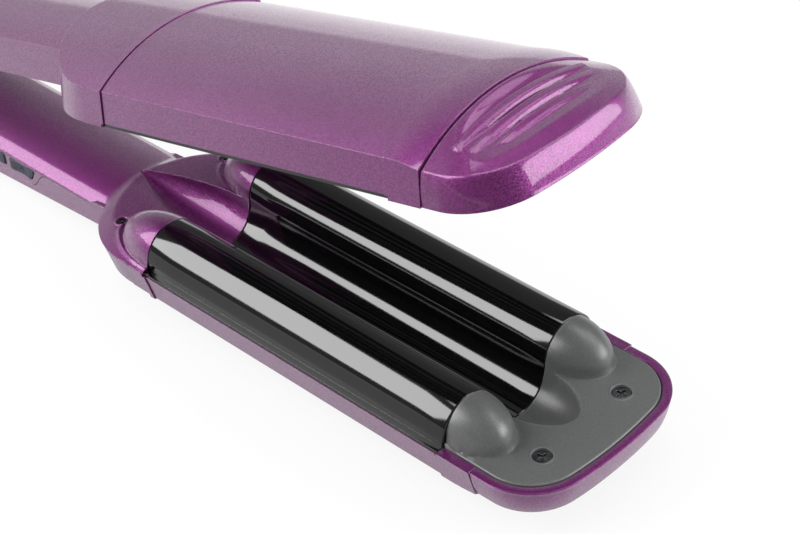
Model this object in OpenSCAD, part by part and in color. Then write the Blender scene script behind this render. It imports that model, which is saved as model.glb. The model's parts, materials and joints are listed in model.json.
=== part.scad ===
// Deep waver for hair: two sprung arms whose heated plates mesh as three barrels.
// Each arm is drawn in an arm frame: X runs from the hinge axis to the tip, Y runs across,
// and Z runs outward from the plane between the closed arms.
// The lower arm is that frame mirrored, and the upper arm is turned about the hinge.

/* [Arms] */
// Angle between the arms when they stand open
opening = 13.8; // [8:0.1:16]
// Distance from the hinge axis to the rear end of the heated plates
plate_start = 188.8; // [180:0.1:200]
// Gap between either arm's inner face and the plane between them
face_gap = 0.5; // [0.4:0.05:0.8]

/* [Heated plates] */
// Length of the heated plates
plate_len = 117.1; // [105:0.1:125]
// Distance across from a barrel's crest line to the next trough's
wave_pitch = 20; // [19:0.1:21]
// Radius of a barrel
barrel_r = 9.8; // [9.4:0.05:9.9]
// Wall of a heated plate
plate_wall = 1.2; // [1:0.05:1.4]
// Height of the plate's edge flange under the panel
flange_h = 1; // [0.8:0.05:1.2]

/* [Head] */
// Head's side wall beyond the outermost trough
head_margin = 2.1; // [2:0.05:2.6]
// Height of the head's rim above the plane between the arms
rim_z = 1.9; // [1.7:0.05:2.1]
// Height of the head's crown above that plane
crown_h = 19.8; // [19:0.1:21]
// Radius of the head's crown
crown_r = 60; // [55:1:70]
// Inward lean of the side walls per unit of height
draft = 0.25; // [0.2:0.01:0.28]
// Side wall of the head
side_wall = 1.2; // [1.1:0.05:1.3]
// Wall of the head's crown
crown_wall = 1.8; // [1.5:0.1:2]
// Length of the raised collar at the panel's front end
collar_len = 12.5; // [8:0.5:15]
// How far the collar stands proud
collar_step = 0.35; // [0.2:0.05:0.5]
// Width of the seams between the outer pieces
seam_gap = 0.3; // [0.2:0.05:0.4]

/* [End caps] */
// Distance from the plates' front end to the end cap's seam
cap_start = 11.4; // [11:0.1:14]
// Distance from the plates' front end to the tip
tip_len = 35.8; // [34:0.1:40]
// Radius of the head's front corners
corner_r = 18; // [16:0.5:20]
// Bulge of the front edge between the corners
front_bulge = 0.9; // [0.6:0.1:1.2]
// Height of the crease above the end cap's side wall
cap_crease_z = 10.4; // [9.8:0.1:11]
// Ledge in an end cap that the front plate lies on
cap_ledge = 0.3; // [0.2:0.05:0.5]
// Roof of an end cap, over the thumb rest
cap_roof = 3.9; // [3.6:0.1:4.2]
// Depth of the thumb rest
rest_depth = 2.1; // [1.6:0.1:2.3]
// Length of the thumb rest along the arm
rest_len = 18; // [16:0.5:19]
// Half width of the thumb rest across the arm
rest_hw = 24; // [22:0.5:25]
// Distance from the cap's seam to the thumb rest
rest_start = 0.9; // [0.7:0.1:1.5]
// Ridges across the thumb rest
rest_ridges = 3; // [2:1:3]
// Radius of one ridge
ridge_r = 1.3; // [1:0.05:1.4]
// Half width of the longest ridges across the arm
ridge_hw = 22; // [20:0.5:22.5]
// How far the ridges stay below the cap's crown
ridge_drop = 0.5; // [0.3:0.05:0.7]

/* [Front plates] */
// Gap between a front plate's edge and the head's outer edge
front_plate_inset = 3; // [2.8:0.1:3.4]
// Gap round a front plate
front_plate_gap = 0.3; // [0.2:0.05:0.4]
// Thickness of a front plate
front_plate_t = 2.4; // [2:0.1:2.8]
// Length of a front dome
dome_len = 14; // [12:0.5:16]
// Length of a front scoop
scoop_len = 19.1; // [18:0.1:21]
// Wall of a scoop
scoop_wall = 1.3; // [1:0.1:1.5]
// Distance from the plates' front end to the screws
front_screw_x = 21.6; // [20.5:0.1:23]
// Distance from the middle to each front screw
front_screw_y = 15.8; // [15:0.1:17]

/* [Shoulders] */
// Length of the shoulder behind the plates
shoulder_len = 42; // [40:0.5:46]
// Length of the shoulder's straight side
shoulder_straight = 9; // [7:0.5:10]
// Radius of the shoulder's sides
shoulder_r = 37; // [35:0.5:40]
// Radius of the shoulder's rear edge
shoulder_rear_r = 32; // [30:0.5:36]
// Width of the bead at the seam
bead_w = 1.7; // [1.2:0.1:2]
// Height of the bead at the seam
bead_h = 0.45; // [0.3:0.05:0.6]
// Length of a rear dome
rear_dome_len = 19.2; // [18:0.1:21]
// Length of the rear scoop behind the middle trough
rear_scoop_len = 38.5; // [36:0.5:40]
// Length of the rear scoops behind the side troughs
side_scoop_len = 24; // [20:0.5:26]
// Width of the lip around a rear dome
lip_w = 1.2; // [1:0.1:1.6]
// Distance from the plates' rear end to the rear screws
rear_screw_x = 22.6; // [22:0.1:24]
// Distance from the middle to each rear screw
rear_screw_y = 20.6; // [19:0.1:21]

/* [Handles] */
// Half width of the handles at their inner edge
handle_hw = 16.8; // [16:0.1:18]
// Inward lean of the handles' sides per unit of height
handle_draft = 0.05; // [0.03:0.01:0.08]
// Radius of the handles' crowns
handle_crown_r = 45; // [40:1:55]
// Height of the upper handle's crown
upper_depth = 16.2; // [15.5:0.1:17]
// Height of the lower handle's crown at the shoulder
lower_depth = 16.8; // [16:0.1:17.5]
// Distance from the hinge to where the lower handle is at its full depth
lower_bend_x = 94; // [85:1:105]
// Height of the upper handle's rim above the plane between the arms
upper_handle_rim = 1; // [0.9:0.05:1.2]
// Wall of the handles
handle_wall = 2; // [1.8:0.1:2.4]
// Depth of the groove line on the lower handle
parting_z = 6.9; // [6.5:0.1:7.5]
// Gap between a cover and its shell
cover_gap = 0.15; // [0.1:0.05:0.25]
// Fall of the lower handle's inner face from its middle to its bevels
arch_fall = 2.9; // [2.5:0.1:3.2]
// Width of the bevels beside the lower handle's inner face
bevel_w = 3.2; // [2.8:0.1:3.6]
// Fall of the bevels
bevel_fall = 2.7; // [2.4:0.1:3]
// Fall of the upper handle's inner face from its middle to its edges
upper_arch_fall = 1.2; // [0.8:0.1:1.4]

/* [Buttons] */
// Distance from the plates' rear end back to the first button's front end
button_front = 72.5; // [70:0.5:76]
// Length of a button
button_l = 12.6; // [11:0.1:13.2]
// Height of a button
button_h = 3.9; // [3.6:0.1:4.2]
// Distance between neighbouring buttons' middles
button_pitch = 15.5; // [15.2:0.1:16.5]
// Depth of the buttons' middle line
button_z = 9.3; // [9:0.1:9.6]
// Travel of a button
button_travel = 0.6; // [0.5:0.05:0.7]
// Running gap round a button
button_gap = 0.15; // [0.12:0.01:0.2]
// How far a button stands out of its wall
button_proud = 0.5; // [0.3:0.05:0.6]
// Depth of the skirt that holds the buttons
skirt_z = 13.7; // [13:0.1:14]

/* [Hinge] */
// Radius of the hinge pin
pin_r = 2; // [1.8:0.05:2.4]
// Running clearance round the hinge pin
pin_clear = 0.05; // [0.03:0.01:0.08]
// Radius of the lugs on the lower handle
lug_r = 12; // [11:0.1:12.6]
// Half width of the tongue on the upper handle
tongue_hw = 10.9; // [10:0.1:11.2]
// Radius of the tongue's underside
tongue_r = 9.2; // [8.8:0.1:9.5]
// Side clearance between the tongue and the lugs
lug_gap = 0.3; // [0.2:0.05:0.4]
// Radius of a hinge cap
cap_r = 7; // [6:0.1:8]
// Thickness of a hinge cap
cap_t = 1.6; // [1.4:0.1:1.8]
// Wire radius of the hinge spring
spring_wire_r = 0.65; // [0.5:0.05:0.7]
// Middle radius of the hinge spring's coils
spring_r = 5; // [4.6:0.1:5.4]
// Turns of the hinge spring
spring_turns = 4; // [3:1:4]
// Length of the hinge spring's legs
spring_leg = 13.4; // [12.4:0.1:13.6]

/* [Cord inlet] */
// Depth of the cord gland's axis
gland_z = 12; // [11.5:0.1:12.4]
// Radius of the gland's barrel
gland_r = 5; // [4.6:0.1:5.2]
// Running clearance round the gland
gland_clear = 0.08; // [0.05:0.01:0.1]
// Radius of the bore for the cord
cord_bore_r = 3.1; // [2.8:0.05:3.4]
// Distance from the hinge axis to the lower handle's rear face
nose_x = 19.5; // [19:0.1:21]
// How far the gland's collar stands out of that face
gland_out = 4; // [3:0.5:6]

/* [Screws] */
// Radius of a screw's head
screw_head_r = 2.7; // [2.5:0.05:2.8]
// Radius of a screw's shank
screw_r = 1.25; // [1.1:0.05:1.4]
// Length of a screw under its head
screw_len = 8; // [7:0.5:8.5]
// Depth of a counterbore
counterbore = 1.5; // [1.2:0.1:1.6]
// Clearance between a screw and its hole
screw_clear = 0.1; // [0.05:0.05:0.2]

/* [Hidden] */
$fn = 96;

// Colours as photographed
purple = [0.44, 0.19, 0.43];
gloss_black = [0.05, 0.05, 0.05];
plate_grey = [0.34, 0.34, 0.34];
steel = [0.62, 0.62, 0.64];

// Stations along an arm
plate_end = plate_start + plate_len;
seam_x = plate_start + 0.8;
cap_x = plate_end + cap_start;
collar_x = cap_x - collar_len;
fall_x = collar_x + 2;
tip_x = plate_end + tip_len;
shoulder_x = plate_start - shoulder_len;
turn_x = plate_start - shoulder_straight;
tail_x = -(nose_x + gland_out);

// The part stands with its lowest line at Z = 0 and its middle at X = 0
rest_h = crown_h + bead_h;
mid_x = (tip_x + tail_x) / 2;

// Widths of the heads and of the plates' flanges
trough_r = wave_pitch - barrel_r;
head_hw = wave_pitch + trough_r + head_margin;
flange_hw = head_hw - 0.4;
flange_top = rim_z + flange_h;

// The front plates and the front corners
front_plate_hw = head_hw - front_plate_inset;
corner_x = tip_x - front_bulge - corner_r;
corner_y = head_hw - corner_r;
front_plate_r = corner_r - front_plate_inset;
front_face_z = rim_z - 0.4;

// The lower handle's parts: cover, shell, skirt round the buttons, lens and rounded rear end
cover_x = lug_r + 2;
shoulder_part_z = rim_z + 3;
skirt_front = plate_start - button_front + 5.5;
skirt_run = 8.5;
skirt_rear = plate_start - button_front - 3 * button_pitch - 12;
lens_x = plate_start - button_front - 3 * button_pitch - 1;
lens_r = 1.2;
nose_r = 7;
nose_top = 4.4;
cap_seat = 1.3;

// Overlaps of forms that join in one piece
cover_overlap = 3;
cover_sink = 0.05;
stub = 0.5;

// Flange that holds the gland in the shell
flange_x = -13.5;
flange_t = 1.6;
flange_r = gland_r + 0.8;

// The buttons' flanges, and the boards behind and under them
button_flange_t = 0.8;
button_lip = 0.6;
dish_r = 20;
dish_depth = 0.4;
board_margin = 4;
switch_h = 1.6;
switch_board_t = 1.2;
switch_board_w = 6;
skin_y = -(handle_hw - handle_draft * (button_z - upper_handle_rim));
button_back_y = skin_y + handle_wall + 0.15;
switch_y = button_back_y + button_flange_t + button_travel + 0.05;
switch_board_x = lens_x - board_margin;
switch_board_l = plate_start - button_front + board_margin - switch_board_x;

// Circuit board in the lower handle
board_x = 52;
board_l = 60;
board_w = 17;
board_t = 1.6;
board_z = 12;

// Heater parts, and the lip between a head's covers
block_top = 3.5;
element_w = 12;
element_t = 2.5;
clamp_t = 0.8;
sensor_r = 1.2;
lip_hw = 21;
lip_t = 1.5;

// The upper shoulder's screws, and the rear screws' heads
upper_screw_x = 31;
upper_screw_y = 12;
rear_head_r = 1.7;
spring_slot = 4.3;

// 2D outlines across an arm are swept along it, and outlines in side view are swept across it
module along_x(from, to) {
    translate([from, 0, 0])
        rotate([90, 0, 90])
            linear_extrude(to - from)
                children();
}

module along_y(from, to) {
    translate([0, to, 0])
        rotate([90, 0, 0])
            linear_extrude(to - from)
                children();
}

function arc(centre, r, from, to, steps) = [
    for (i = [0:steps])
        let (a = from + (to - from) * i / steps)
            [centre[0] + r * cos(a), centre[1] + r * sin(a)]
];

function mirrored_y(points) = [for (i = [len(points) - 1:-1:0]) [points[i][0], -points[i][1]]];

// Leaning side walls, from height z0 to height z1
module leaning_walls(half_w, base, lean, z0, z1) {
    bottom = half_w - lean * (z0 - base);
    top = half_w - lean * (z1 - base);
    polygon([[-bottom, z0], [bottom, z0], [top, z1], [-top, z1]]);
}

// Section of the head, inset from its outer face
module head_section(inset = 0, roof = 0, from = rim_z) {
    intersection() {
        translate([0, crown_h - crown_r])
            circle(crown_r - roof);
        leaning_walls(head_hw - inset, rim_z, draft, from, crown_h + 1);
    }
}

// Half-ellipse turned about the X axis, as domes and scoops have, with a short stub behind it
module turned_ellipse(length, r, steps = 14) {
    rotate([0, 90, 0])
        rotate_extrude()
            polygon(concat([[0, -stub], [r, -stub]], [for (i = [0:steps])
                let (a = 90 * i / steps) [r * cos(a), length * sin(a)]]));
}

// Pointed scoop turned about the X axis, made of one arc, with a short stub behind it
module turned_point(length, r) {
    arc_r = (length * length + r * r) / (2 * r);
    rotate([0, 90, 0])
        rotate_extrude() {
            intersection() {
                translate([r - arc_r, 0])
                    circle(arc_r);
                square([r + 1, length + 1]);
            }
            translate([0, -stub])
                square([r, stub]);
        }
}

// Outline of the head's front end in plan, with its corners at radius r
module tip_outline(r, from) {
    a = r + front_bulge;
    front_r = (a * a + corner_y * corner_y - r * r) / (2 * (a - r));
    front_x = corner_x + a - front_r;
    turn = atan2(corner_y, corner_x - front_x);
    side = concat(
        [[from, corner_y + r]],
        arc([corner_x, corner_y], r, 90, turn, 12),
        arc([front_x, 0], front_r, turn, 0, 4)
    );
    polygon(concat(side, mirrored_y(side)));
}

// Outer form of an end cap: a rim and a crease that follow the tip's outline, under a falling crown
module cap_form() {
    thin = 0.01;
    start = cap_x + seam_gap / 2;
    lean = draft * (cap_crease_z - rim_z);
    hull($fn = 32) {
        translate([0, 0, rim_z])
            linear_extrude(thin)
                tip_outline(corner_r, start);
        translate([0, 0, cap_crease_z - thin])
            linear_extrude(thin)
                tip_outline(corner_r - lean, start);
        for (i = [0:7])
            cap_slice(start + (tip_x - start) * i / 8, corner_r - lean);
    }
}

// Height of the head's crown, which falls to the tip along an arc
function cap_crown(x) =
    x < fall_x ? crown_h : crown_h - crown_r + sqrt(crown_r * crown_r - pow(x - fall_x, 2));

// One arc of the cap's crown across the arm at x, over a crease whose corners have radius r
module cap_slice(x, r) {
    w = corner_y + (x < corner_x ? r : sqrt(r * r - pow(x - corner_x, 2))) - 0.1;
    sag = cap_crown(x) - cap_crease_z;
    slice_r = (w * w + sag * sag) / (2 * sag);
    half = asin(w / slice_r);
    along_x(x, x + 0.01)
        polygon(arc([0, cap_crease_z + sag - slice_r], slice_r, 90 - half, 90 + half, 18));
}

// Room inside an end cap: a recess for the front plate's edge, and a hollow under the crown
module cap_room() {
    translate([0, 0, front_face_z - 1])
        linear_extrude(front_plate_t + 1.05)
            tip_outline(front_plate_r + front_plate_gap, cap_x - 1);
    intersection() {
        translate([0, 0, front_face_z])
            linear_extrude(crown_h)
                tip_outline(front_plate_r - cap_ledge, cap_x - 1);
        translate([fall_x, 0, crown_h - crown_r])
            sphere(crown_r - cap_roof);
    }
}

// Outline of the shoulder's sides and rear, as leaning cones that meet the straight walls
module shoulder_form(inset = 0, roof = 0, from = rim_z, front = seam_x) {
    h = crown_h + 1 - from;
    foot = inset + draft * (from - rim_z);
    rear_x = shoulder_x + shoulder_rear_r;
    intersection() {
        union() {
            intersection() {
                intersection_for(s = [-1, 1])
                    translate([turn_x, s * (head_hw - shoulder_r), from])
                        cylinder(h = h, r1 = shoulder_r - foot, r2 = shoulder_r - foot - draft * h);
                translate([rear_x, 0, from])
                    cylinder(h = h, r1 = shoulder_rear_r - foot, r2 = shoulder_rear_r - foot - draft * h);
                translate([shoulder_x - 1, -head_hw, from])
                    cube([turn_x - shoulder_x + 1, 2 * head_hw, h]);
            }
            along_x(turn_x, front)
                leaning_walls(head_hw - inset, rim_z, draft, from, from + h);
        }
        translate([shoulder_x - 2, 0, crown_h - crown_r])
            rotate([0, 90, 0])
                cylinder(h = front - shoulder_x + 4, r = crown_r - roof);
    }
}

// Form of a handle from the hinge to the shoulder, with its crown falling toward the shoulder
module handle_form(rear_depth, front_depth, inset, from, x0, x1) {
    slope = atan((rear_depth - front_depth) / (shoulder_x - lower_bend_x));
    intersection() {
        along_x(x0, x1)
            leaning_walls(handle_hw - inset, upper_handle_rim, handle_draft, from, rear_depth + 1);
        translate([x0 - 1, 0, rear_depth - handle_crown_r])
            rotate([0, 90, 0])
                cylinder(h = x1 - x0 + 2, r = handle_crown_r - inset);
        if (slope > 0)
            translate([lower_bend_x, 0, rear_depth])
                rotate([0, slope, 0])
                    translate([x0 - lower_bend_x - 5, 0, -handle_crown_r])
                        rotate([0, 90, 0])
                            cylinder(h = x1 - x0 + 20, r = handle_crown_r - inset);
    }
}

// Section of a heated plate. crests lists the barrels' middles, troughs the channels'
module plate_section(crests, troughs) {
    inside = head_hw - side_wall - 0.15;
    edge_in = wave_pitch + (len(crests) > 1 ? barrel_r : trough_r + 0.1) - plate_wall;
    intersection() {
        leaning_walls(inside, rim_z, draft, -barrel_r - 1, crown_h);
        union() {
            for (y = crests)
                half_ring([y, face_gap], barrel_r, barrel_r - plate_wall, -1);
            for (y = troughs)
                half_ring([y, face_gap], trough_r + plate_wall, trough_r, 1);
            if (len(crests) > 1)
                for (s = [-1, 1])
                    translate([s * (wave_pitch + barrel_r - plate_wall / 2), (face_gap + flange_top) / 2])
                        square([plate_wall, flange_top - face_gap], center = true);
        }
    }
    difference() {
        for (s = [-1, 1])
            translate([s * (edge_in + flange_hw) / 2, rim_z + flange_h / 2])
                square([flange_hw - edge_in, flange_h], center = true);
        for (y = troughs)
            translate([y, face_gap])
                circle(trough_r);
    }
}

// Half of a ring, on the side of its middle that side gives
module half_ring(centre, outer, inner, side) {
    translate(centre)
        intersection() {
            difference() {
                circle(outer);
                circle(inner);
            }
            translate([-outer - 1, side > 0 ? 0 : -outer - 1])
                square([2 * outer + 2, outer + 1]);
        }
}

module wave_plate(crests, troughs) {
    difference() {
        along_x(plate_start, plate_end)
            plate_section(crests, troughs);
        // The channels' outer edges end at the flange
        if (len(troughs) > 1)
            for (s = [-1, 1])
                translate([plate_start - 1, s * (head_hw + wave_pitch) / 2 - 7, -1])
                    cube([plate_len + 2, 14, rim_z + 1 - 0.001]);
    }
}

// Half-round aluminium block that backs a barrel
module heater_block(y) {
    block_r = barrel_r - plate_wall - 0.08;
    along_x(plate_start + 6, plate_end - 6)
        intersection() {
            translate([y, face_gap])
                circle(block_r);
            translate([y - block_r, -barrel_r])
                square([2 * block_r, barrel_r + block_top]);
        }
}

module heater_element(y) {
    translate([plate_start + 12, y - element_w / 2, block_top + 0.05])
        cube([plate_len - 24, element_w, element_t]);
    for (s = [-1, 1])
        translate([plate_start + 8, y + s * element_w / 4 - 0.6, block_top + 0.6])
            cube([5, 1.2, 0.5]);
}

// Pressed steel clamp with turned-down edges
module heater_clamp(y) {
    z = block_top + element_t + 0.1;
    difference() {
        translate([plate_start + 14, y - element_w / 2 - 1, z - 1.2])
            cube([plate_len - 28, element_w + 2, 1.2 + clamp_t]);
        translate([plate_start + 13, y - element_w / 2 - 0.2, z - 2])
            cube([plate_len - 26, element_w + 0.4, 2]);
        for (x = [plate_start + 28:15:plate_end - 26])
            translate([x, y, z - 3])
                cylinder(h = 6, r = 2);
    }
}

// Head's crown and side walls from one station to another. Past fall_x the crown falls as a sphere
module head_body(from, to, inset, roof, foot) {
    if (from < fall_x)
        along_x(from, fall_x)
            head_section(inset, roof, foot);
    if (to > fall_x)
        intersection() {
            along_x(max(from, fall_x), to)
                leaning_walls(head_hw - inset, rim_z, draft, foot, crown_h + 1);
            translate([fall_x, 0, crown_h - crown_r])
                sphere(crown_r - roof);
        }
}

// Outer cover of a head, with ribs that press the clamps at the given offsets
module head_panel(rib_ys, rib_hw) {
    rib_z = block_top + element_t + clamp_t + 0.15;
    difference() {
        union() {
            along_x(seam_x + seam_gap, collar_x)
                head_section();
            head_body(collar_x, cap_x - seam_gap / 2, -collar_step, -collar_step, rim_z);
        }
        difference() {
            head_body(seam_x, cap_x, side_wall, crown_wall, rim_z - 1);
            // Rim beside the front plate
            for (s = [-1, 1])
                translate([plate_end + 0.05, s * (front_plate_hw + front_plate_gap + 5) - 5, -1])
                    cube([collar_len, 10, front_face_z + front_plate_t + 1]);
        }
        translate([plate_start, -head_hw - 1, rim_z - 1])
            cube([plate_len, 2 * head_hw + 2, 1 + flange_h]);
    }
    for (x = [plate_start + 20:19:plate_end - 20], y = rib_ys)
        along_x(x, x + 1.6)
            intersection() {
                head_section(inset = side_wall + 0.4, roof = crown_wall - 0.2);
                translate([y - rib_hw, rib_z])
                    square([2 * rib_hw, crown_h]);
            }
}

// End cap with its thumb rest, ridges, screw bosses and the lip that enters the panel
module end_cap(troughs) {
    boss_z = front_face_z + front_plate_t + 0.05;
    difference() {
        union() {
            difference() {
                cap_form();
                cap_room();
                thumb_groove();
            }
            for (i = [0:rest_ridges - 1])
                thumb_ridge(cap_x + rest_start + rest_len * (i + 1.45) / (rest_ridges + 1.6));
            difference() {
                for (s = [-1, 1])
                    translate([plate_end + front_screw_x, s * front_screw_y, boss_z])
                        cylinder(h = screw_len, r = 3.2);
                for (y = troughs)
                    translate([plate_end, y, face_gap])
                        turned_ellipse(scoop_len + scoop_wall + 0.3, trough_r + scoop_wall + 0.2);
            }
            crown_lip(cap_x - 4, cap_x + 4);
        }
        for (s = [-1, 1])
            translate([plate_end + front_screw_x, s * front_screw_y, boss_z - 1])
                cylinder(h = screw_len + 0.2, r = screw_r + screw_clear / 2);
    }
}

// Lip just under the crown that enters the neighbouring piece
module crown_lip(from, to) {
    intersection() {
        difference() {
            head_body(from, to, side_wall, crown_wall + 0.1, rim_z);
            head_body(from - 1, to + 1, side_wall, crown_wall + lip_t, rim_z - 1);
        }
        translate([from, -lip_hw, crown_h / 2])
            cube([to - from, 2 * lip_hw, crown_h]);
    }
}

// The thumb rest's middle, the crown's radius across it there, and the flatter arc of its floor
rest_mid = cap_x + rest_start + rest_len / 2;
rest_sag = cap_crown(rest_mid) - cap_crease_z;
rest_w = head_hw - draft * (cap_crease_z - rim_z);
rest_crown_r = (rest_w * rest_w + rest_sag * rest_sag) / (2 * rest_sag);
rest_arc_r = 1 / (1 / rest_crown_r - 2 * rest_depth / (rest_hw * rest_hw));

// Hollow for a thumb: a round groove that ends where its floor's arc meets the crown
module thumb_groove() {
    groove_r = 1 / (8 * rest_depth / (rest_len * rest_len) - 1 / crown_r);
    on_thumb_rest()
        rotate_extrude($fn = 240)
            translate([rest_arc_r + groove_r, 0])
                circle(groove_r);
}

// Turns a ring's axis along the arm, under the middle of the thumb rest and square to its slope
module on_thumb_rest() {
    translate([rest_mid, 0, cap_crown(rest_mid)])
        rotate([0, asin((rest_mid - fall_x) / crown_r), 0])
            translate([0, 0, -rest_depth - rest_arc_r])
                rotate([0, 90, 0])
                    children();
}

// One ridge, which rises from the hollow's floor to just under the crown and sinks back into the floor
module thumb_ridge(x) {
    top = cap_crown(x) - ridge_drop;
    floor_sag = rest_arc_r - sqrt(rest_arc_r * rest_arc_r - ridge_hw * ridge_hw);
    sag = rest_depth - ridge_drop + floor_sag;
    arc_r = (ridge_hw * ridge_hw + sag * sag) / (2 * sag);
    intersection() {
        translate([x, 0, top - arc_r])
            rotate([0, 90, 0])
                rotate_extrude()
                    translate([arc_r - ridge_r, 0])
                        circle(ridge_r);
        translate([x - 5, -ridge_hw - 1, crown_h / 2 - 4])
            cube([10, 2 * ridge_hw + 2, crown_h]);
    }
}

// Grey plate at the head's front, with a dome ahead of each barrel and a scoop ahead of each trough
module front_plate(crests, troughs) {
    start = plate_end + 0.1;
    difference() {
        union() {
            translate([0, 0, front_face_z])
                linear_extrude(front_plate_t)
                    tip_outline(front_plate_r, start - stub);
            intersection() {
                for (y = crests)
                    translate([start, y, face_gap])
                        turned_ellipse(dome_len, barrel_r);
                translate([start - stub, -head_hw, -barrel_r - 1])
                    cube([scoop_len * 2, 2 * head_hw, barrel_r + rim_z + 0.95]);
            }
            intersection() {
                for (y = troughs)
                    translate([start, y, face_gap])
                        turned_ellipse(scoop_len + scoop_wall, trough_r + scoop_wall);
                scoop_room(start);
            }
        }
        // Rear end, flush for the heated plate
        translate([start - 2 * stub, -head_hw, -crown_h])
            cube([2 * stub, 2 * head_hw, 2 * crown_h]);
        for (y = troughs)
            translate([start, y, face_gap])
                turned_ellipse(scoop_len, trough_r);
        for (s = [-1, 1])
            translate([plate_end + front_screw_x, s * front_screw_y, front_face_z])
                counterbored_hole(screw_head_r + screw_clear, front_plate_t);
    }
}

// Room for the scoops between the panel's walls, narrower beside its rim
module scoop_room(start) {
    top = front_face_z + front_plate_t;
    translate([start - stub, -front_plate_hw, front_face_z + 0.2])
        cube([scoop_len * 2, 2 * front_plate_hw, top - front_face_z]);
    along_x(start - stub, start + scoop_len * 2)
        leaning_walls(head_hw - side_wall - 0.15, rim_z, draft, top + 0.15, crown_h);
}

module counterbored_hole(head_r, depth) {
    translate([0, 0, -1])
        cylinder(h = 1 + counterbore, r = head_r);
    translate([0, 0, -1])
        cylinder(h = depth + 2, r = screw_r + screw_clear);
}

// Screw with a cross recess, its head toward the plane between the arms
module screw(head_r) {
    head_t = 1.1;
    difference() {
        union() {
            translate([0, 0, counterbore - head_t])
                cylinder(h = head_t, r = head_r);
            cylinder(h = counterbore + screw_len, r = screw_r);
        }
        translate([0, 0, -1])
            cylinder(h = counterbore - head_t + 1, r = head_r + 1);
        for (a = [0, 90])
            rotate([0, 0, a])
                translate([-head_r * 0.6, -0.3, -1])
                    cube([head_r * 1.2, 0.6, 1.7 + counterbore - head_t]);
    }
}

module front_screws() {
    for (s = [-1, 1])
        translate([plate_end + front_screw_x, s * front_screw_y, front_face_z])
            screw(screw_head_r);
}

// Plan outline of a shoulder, inset from its rim by one amount at the sides and another at the rear
module shoulder_outline(inset, front, rear) {
    intersection() {
        union() {
            intersection() {
                intersection_for(s = [-1, 1])
                    translate([turn_x, s * (head_hw - shoulder_r)])
                        circle(shoulder_r - inset);
                translate([shoulder_x + shoulder_rear_r, 0])
                    circle(shoulder_rear_r - rear);
            }
            translate([turn_x, -head_hw + inset])
                square([front - turn_x, 2 * (head_hw - inset)]);
        }
        translate([0, -head_hw])
            square([front, 2 * head_hw]);
    }
}

// Inner face of a shoulder, with a dome behind each barrel and a pointed scoop behind each trough.
// part_rear is its rim's height at the rear
module shoulder_face(crests, troughs, trough_len, part_rear, screw_x, screw_y) {
    front = plate_start - 0.1;
    fall = (part_rear - rim_z) / (seam_x - shoulder_x);
    lean = [[1, 0, 0, 0], [0, 1, 0, 0], [-fall, 0, 1, part_rear + fall * shoulder_x], [0, 0, 0, 1]];
    difference() {
        union() {
            hull($fn = 32) {
                translate([0, 0, face_gap])
                    linear_extrude(0.05)
                        shoulder_outline(5.5, front + stub, 2.5);
                multmatrix(lean)
                    translate([0, 0, -cover_gap - 0.05])
                        linear_extrude(0.05)
                            shoulder_outline(0.35, front + stub, 0.35);
            }
            // Plug inside the shell's walls
            intersection() {
                translate([0, 0, face_gap + 1])
                    linear_extrude(crown_h)
                        shoulder_outline(handle_wall + 1, front + stub, handle_wall + 1);
                along_y(-head_hw, head_hw)
                    polygon([
                        [shoulder_x, 0], [shoulder_x, part_rear + 1.6],
                        [seam_x, rim_z + 1.6], [seam_x, 0]
                    ]);
            }
            intersection() {
                for (y = crests)
                    translate([front, y, face_gap])
                        rotate([0, 0, 180]) {
                            turned_ellipse(rear_dome_len, barrel_r);
                            difference() {
                                turned_ellipse(rear_dome_len + lip_w, barrel_r + lip_w);
                                translate([-1, -30, -40])
                                    cube([60, 60, 40 - 0.3]);
                            }
                        }
                translate([0, -head_hw + head_margin, -barrel_r - 1])
                    cube([front + stub, 2 * (head_hw - head_margin), barrel_r + rim_z + 1]);
            }
            intersection() {
                for (y = troughs)
                    translate([front, y, face_gap])
                        rotate([0, 0, 180])
                            turned_point(trough_len + scoop_wall, trough_r + scoop_wall);
                shoulder_form(handle_wall + 0.2, handle_wall + 1, rim_z, front + stub);
            }
        }
        // Front end, flush for the heated plate
        translate([front, -head_hw, -crown_h])
            cube([2 * stub, 2 * head_hw, 2 * crown_h]);
        for (y = troughs)
            translate([front, y, face_gap])
                rotate([0, 0, 180])
                    turned_point(trough_len, trough_r);
        for (s = [-1, 1])
            translate([plate_start - screw_x, s * screw_y, face_gap])
                counterbored_hole(rear_head_r + screw_clear, 30);
    }
}

module rear_screws(screw_x, screw_y) {
    for (s = [-1, 1])
        translate([plate_start - screw_x, s * screw_y, face_gap])
            screw(rear_head_r);
}

// Line that parts the lower handle's cover from its shell, moved outward by d.
// On the near side it dips round the buttons' skirt.
function parting_line(near, d) = concat(
    [[cover_x, parting_z + d]],
    near ? skirt_curve(skirt_rear, 1, d) : [],
    near ? skirt_curve(skirt_front, -1, d) : [],
    [
        [shoulder_x - 5, parting_z + d],
        [shoulder_x, shoulder_part_z + d],
        [seam_x, rim_z + d]
    ]
);

// S-shaped end of the skirt that starts at x and runs on the side given
function skirt_curve(x, side, d) = [
    for (i = [0:8])
        let (
            t = side > 0 ? i / 8 : 1 - i / 8,
            fall = (skirt_z - parting_z) * (1 - cos(180 * t)) / 2
        )
            [x + side * (skirt_run * t - d), parting_z + d + fall]
];

// Zones of the lower handle's shell and cover in side view
module shell_zone(near) {
    polygon(concat(
        [[tail_x - 5, crown_h + 5], [tail_x - 5, -lug_r - 5]],
        [[cover_x - cover_gap, -lug_r - 5]],
        [[cover_x - cover_gap, parting_z + cover_gap / 2]],
        parting_line(near, cover_gap / 2),
        [[seam_x + 5, rim_z + cover_gap / 2], [seam_x + 5, crown_h + 5]]
    ));
}

module cover_zone(near) {
    polygon(concat(
        [[cover_x, -5]],
        parting_line(near, -cover_gap / 2),
        [[seam_x, -5]]
    ));
}

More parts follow.
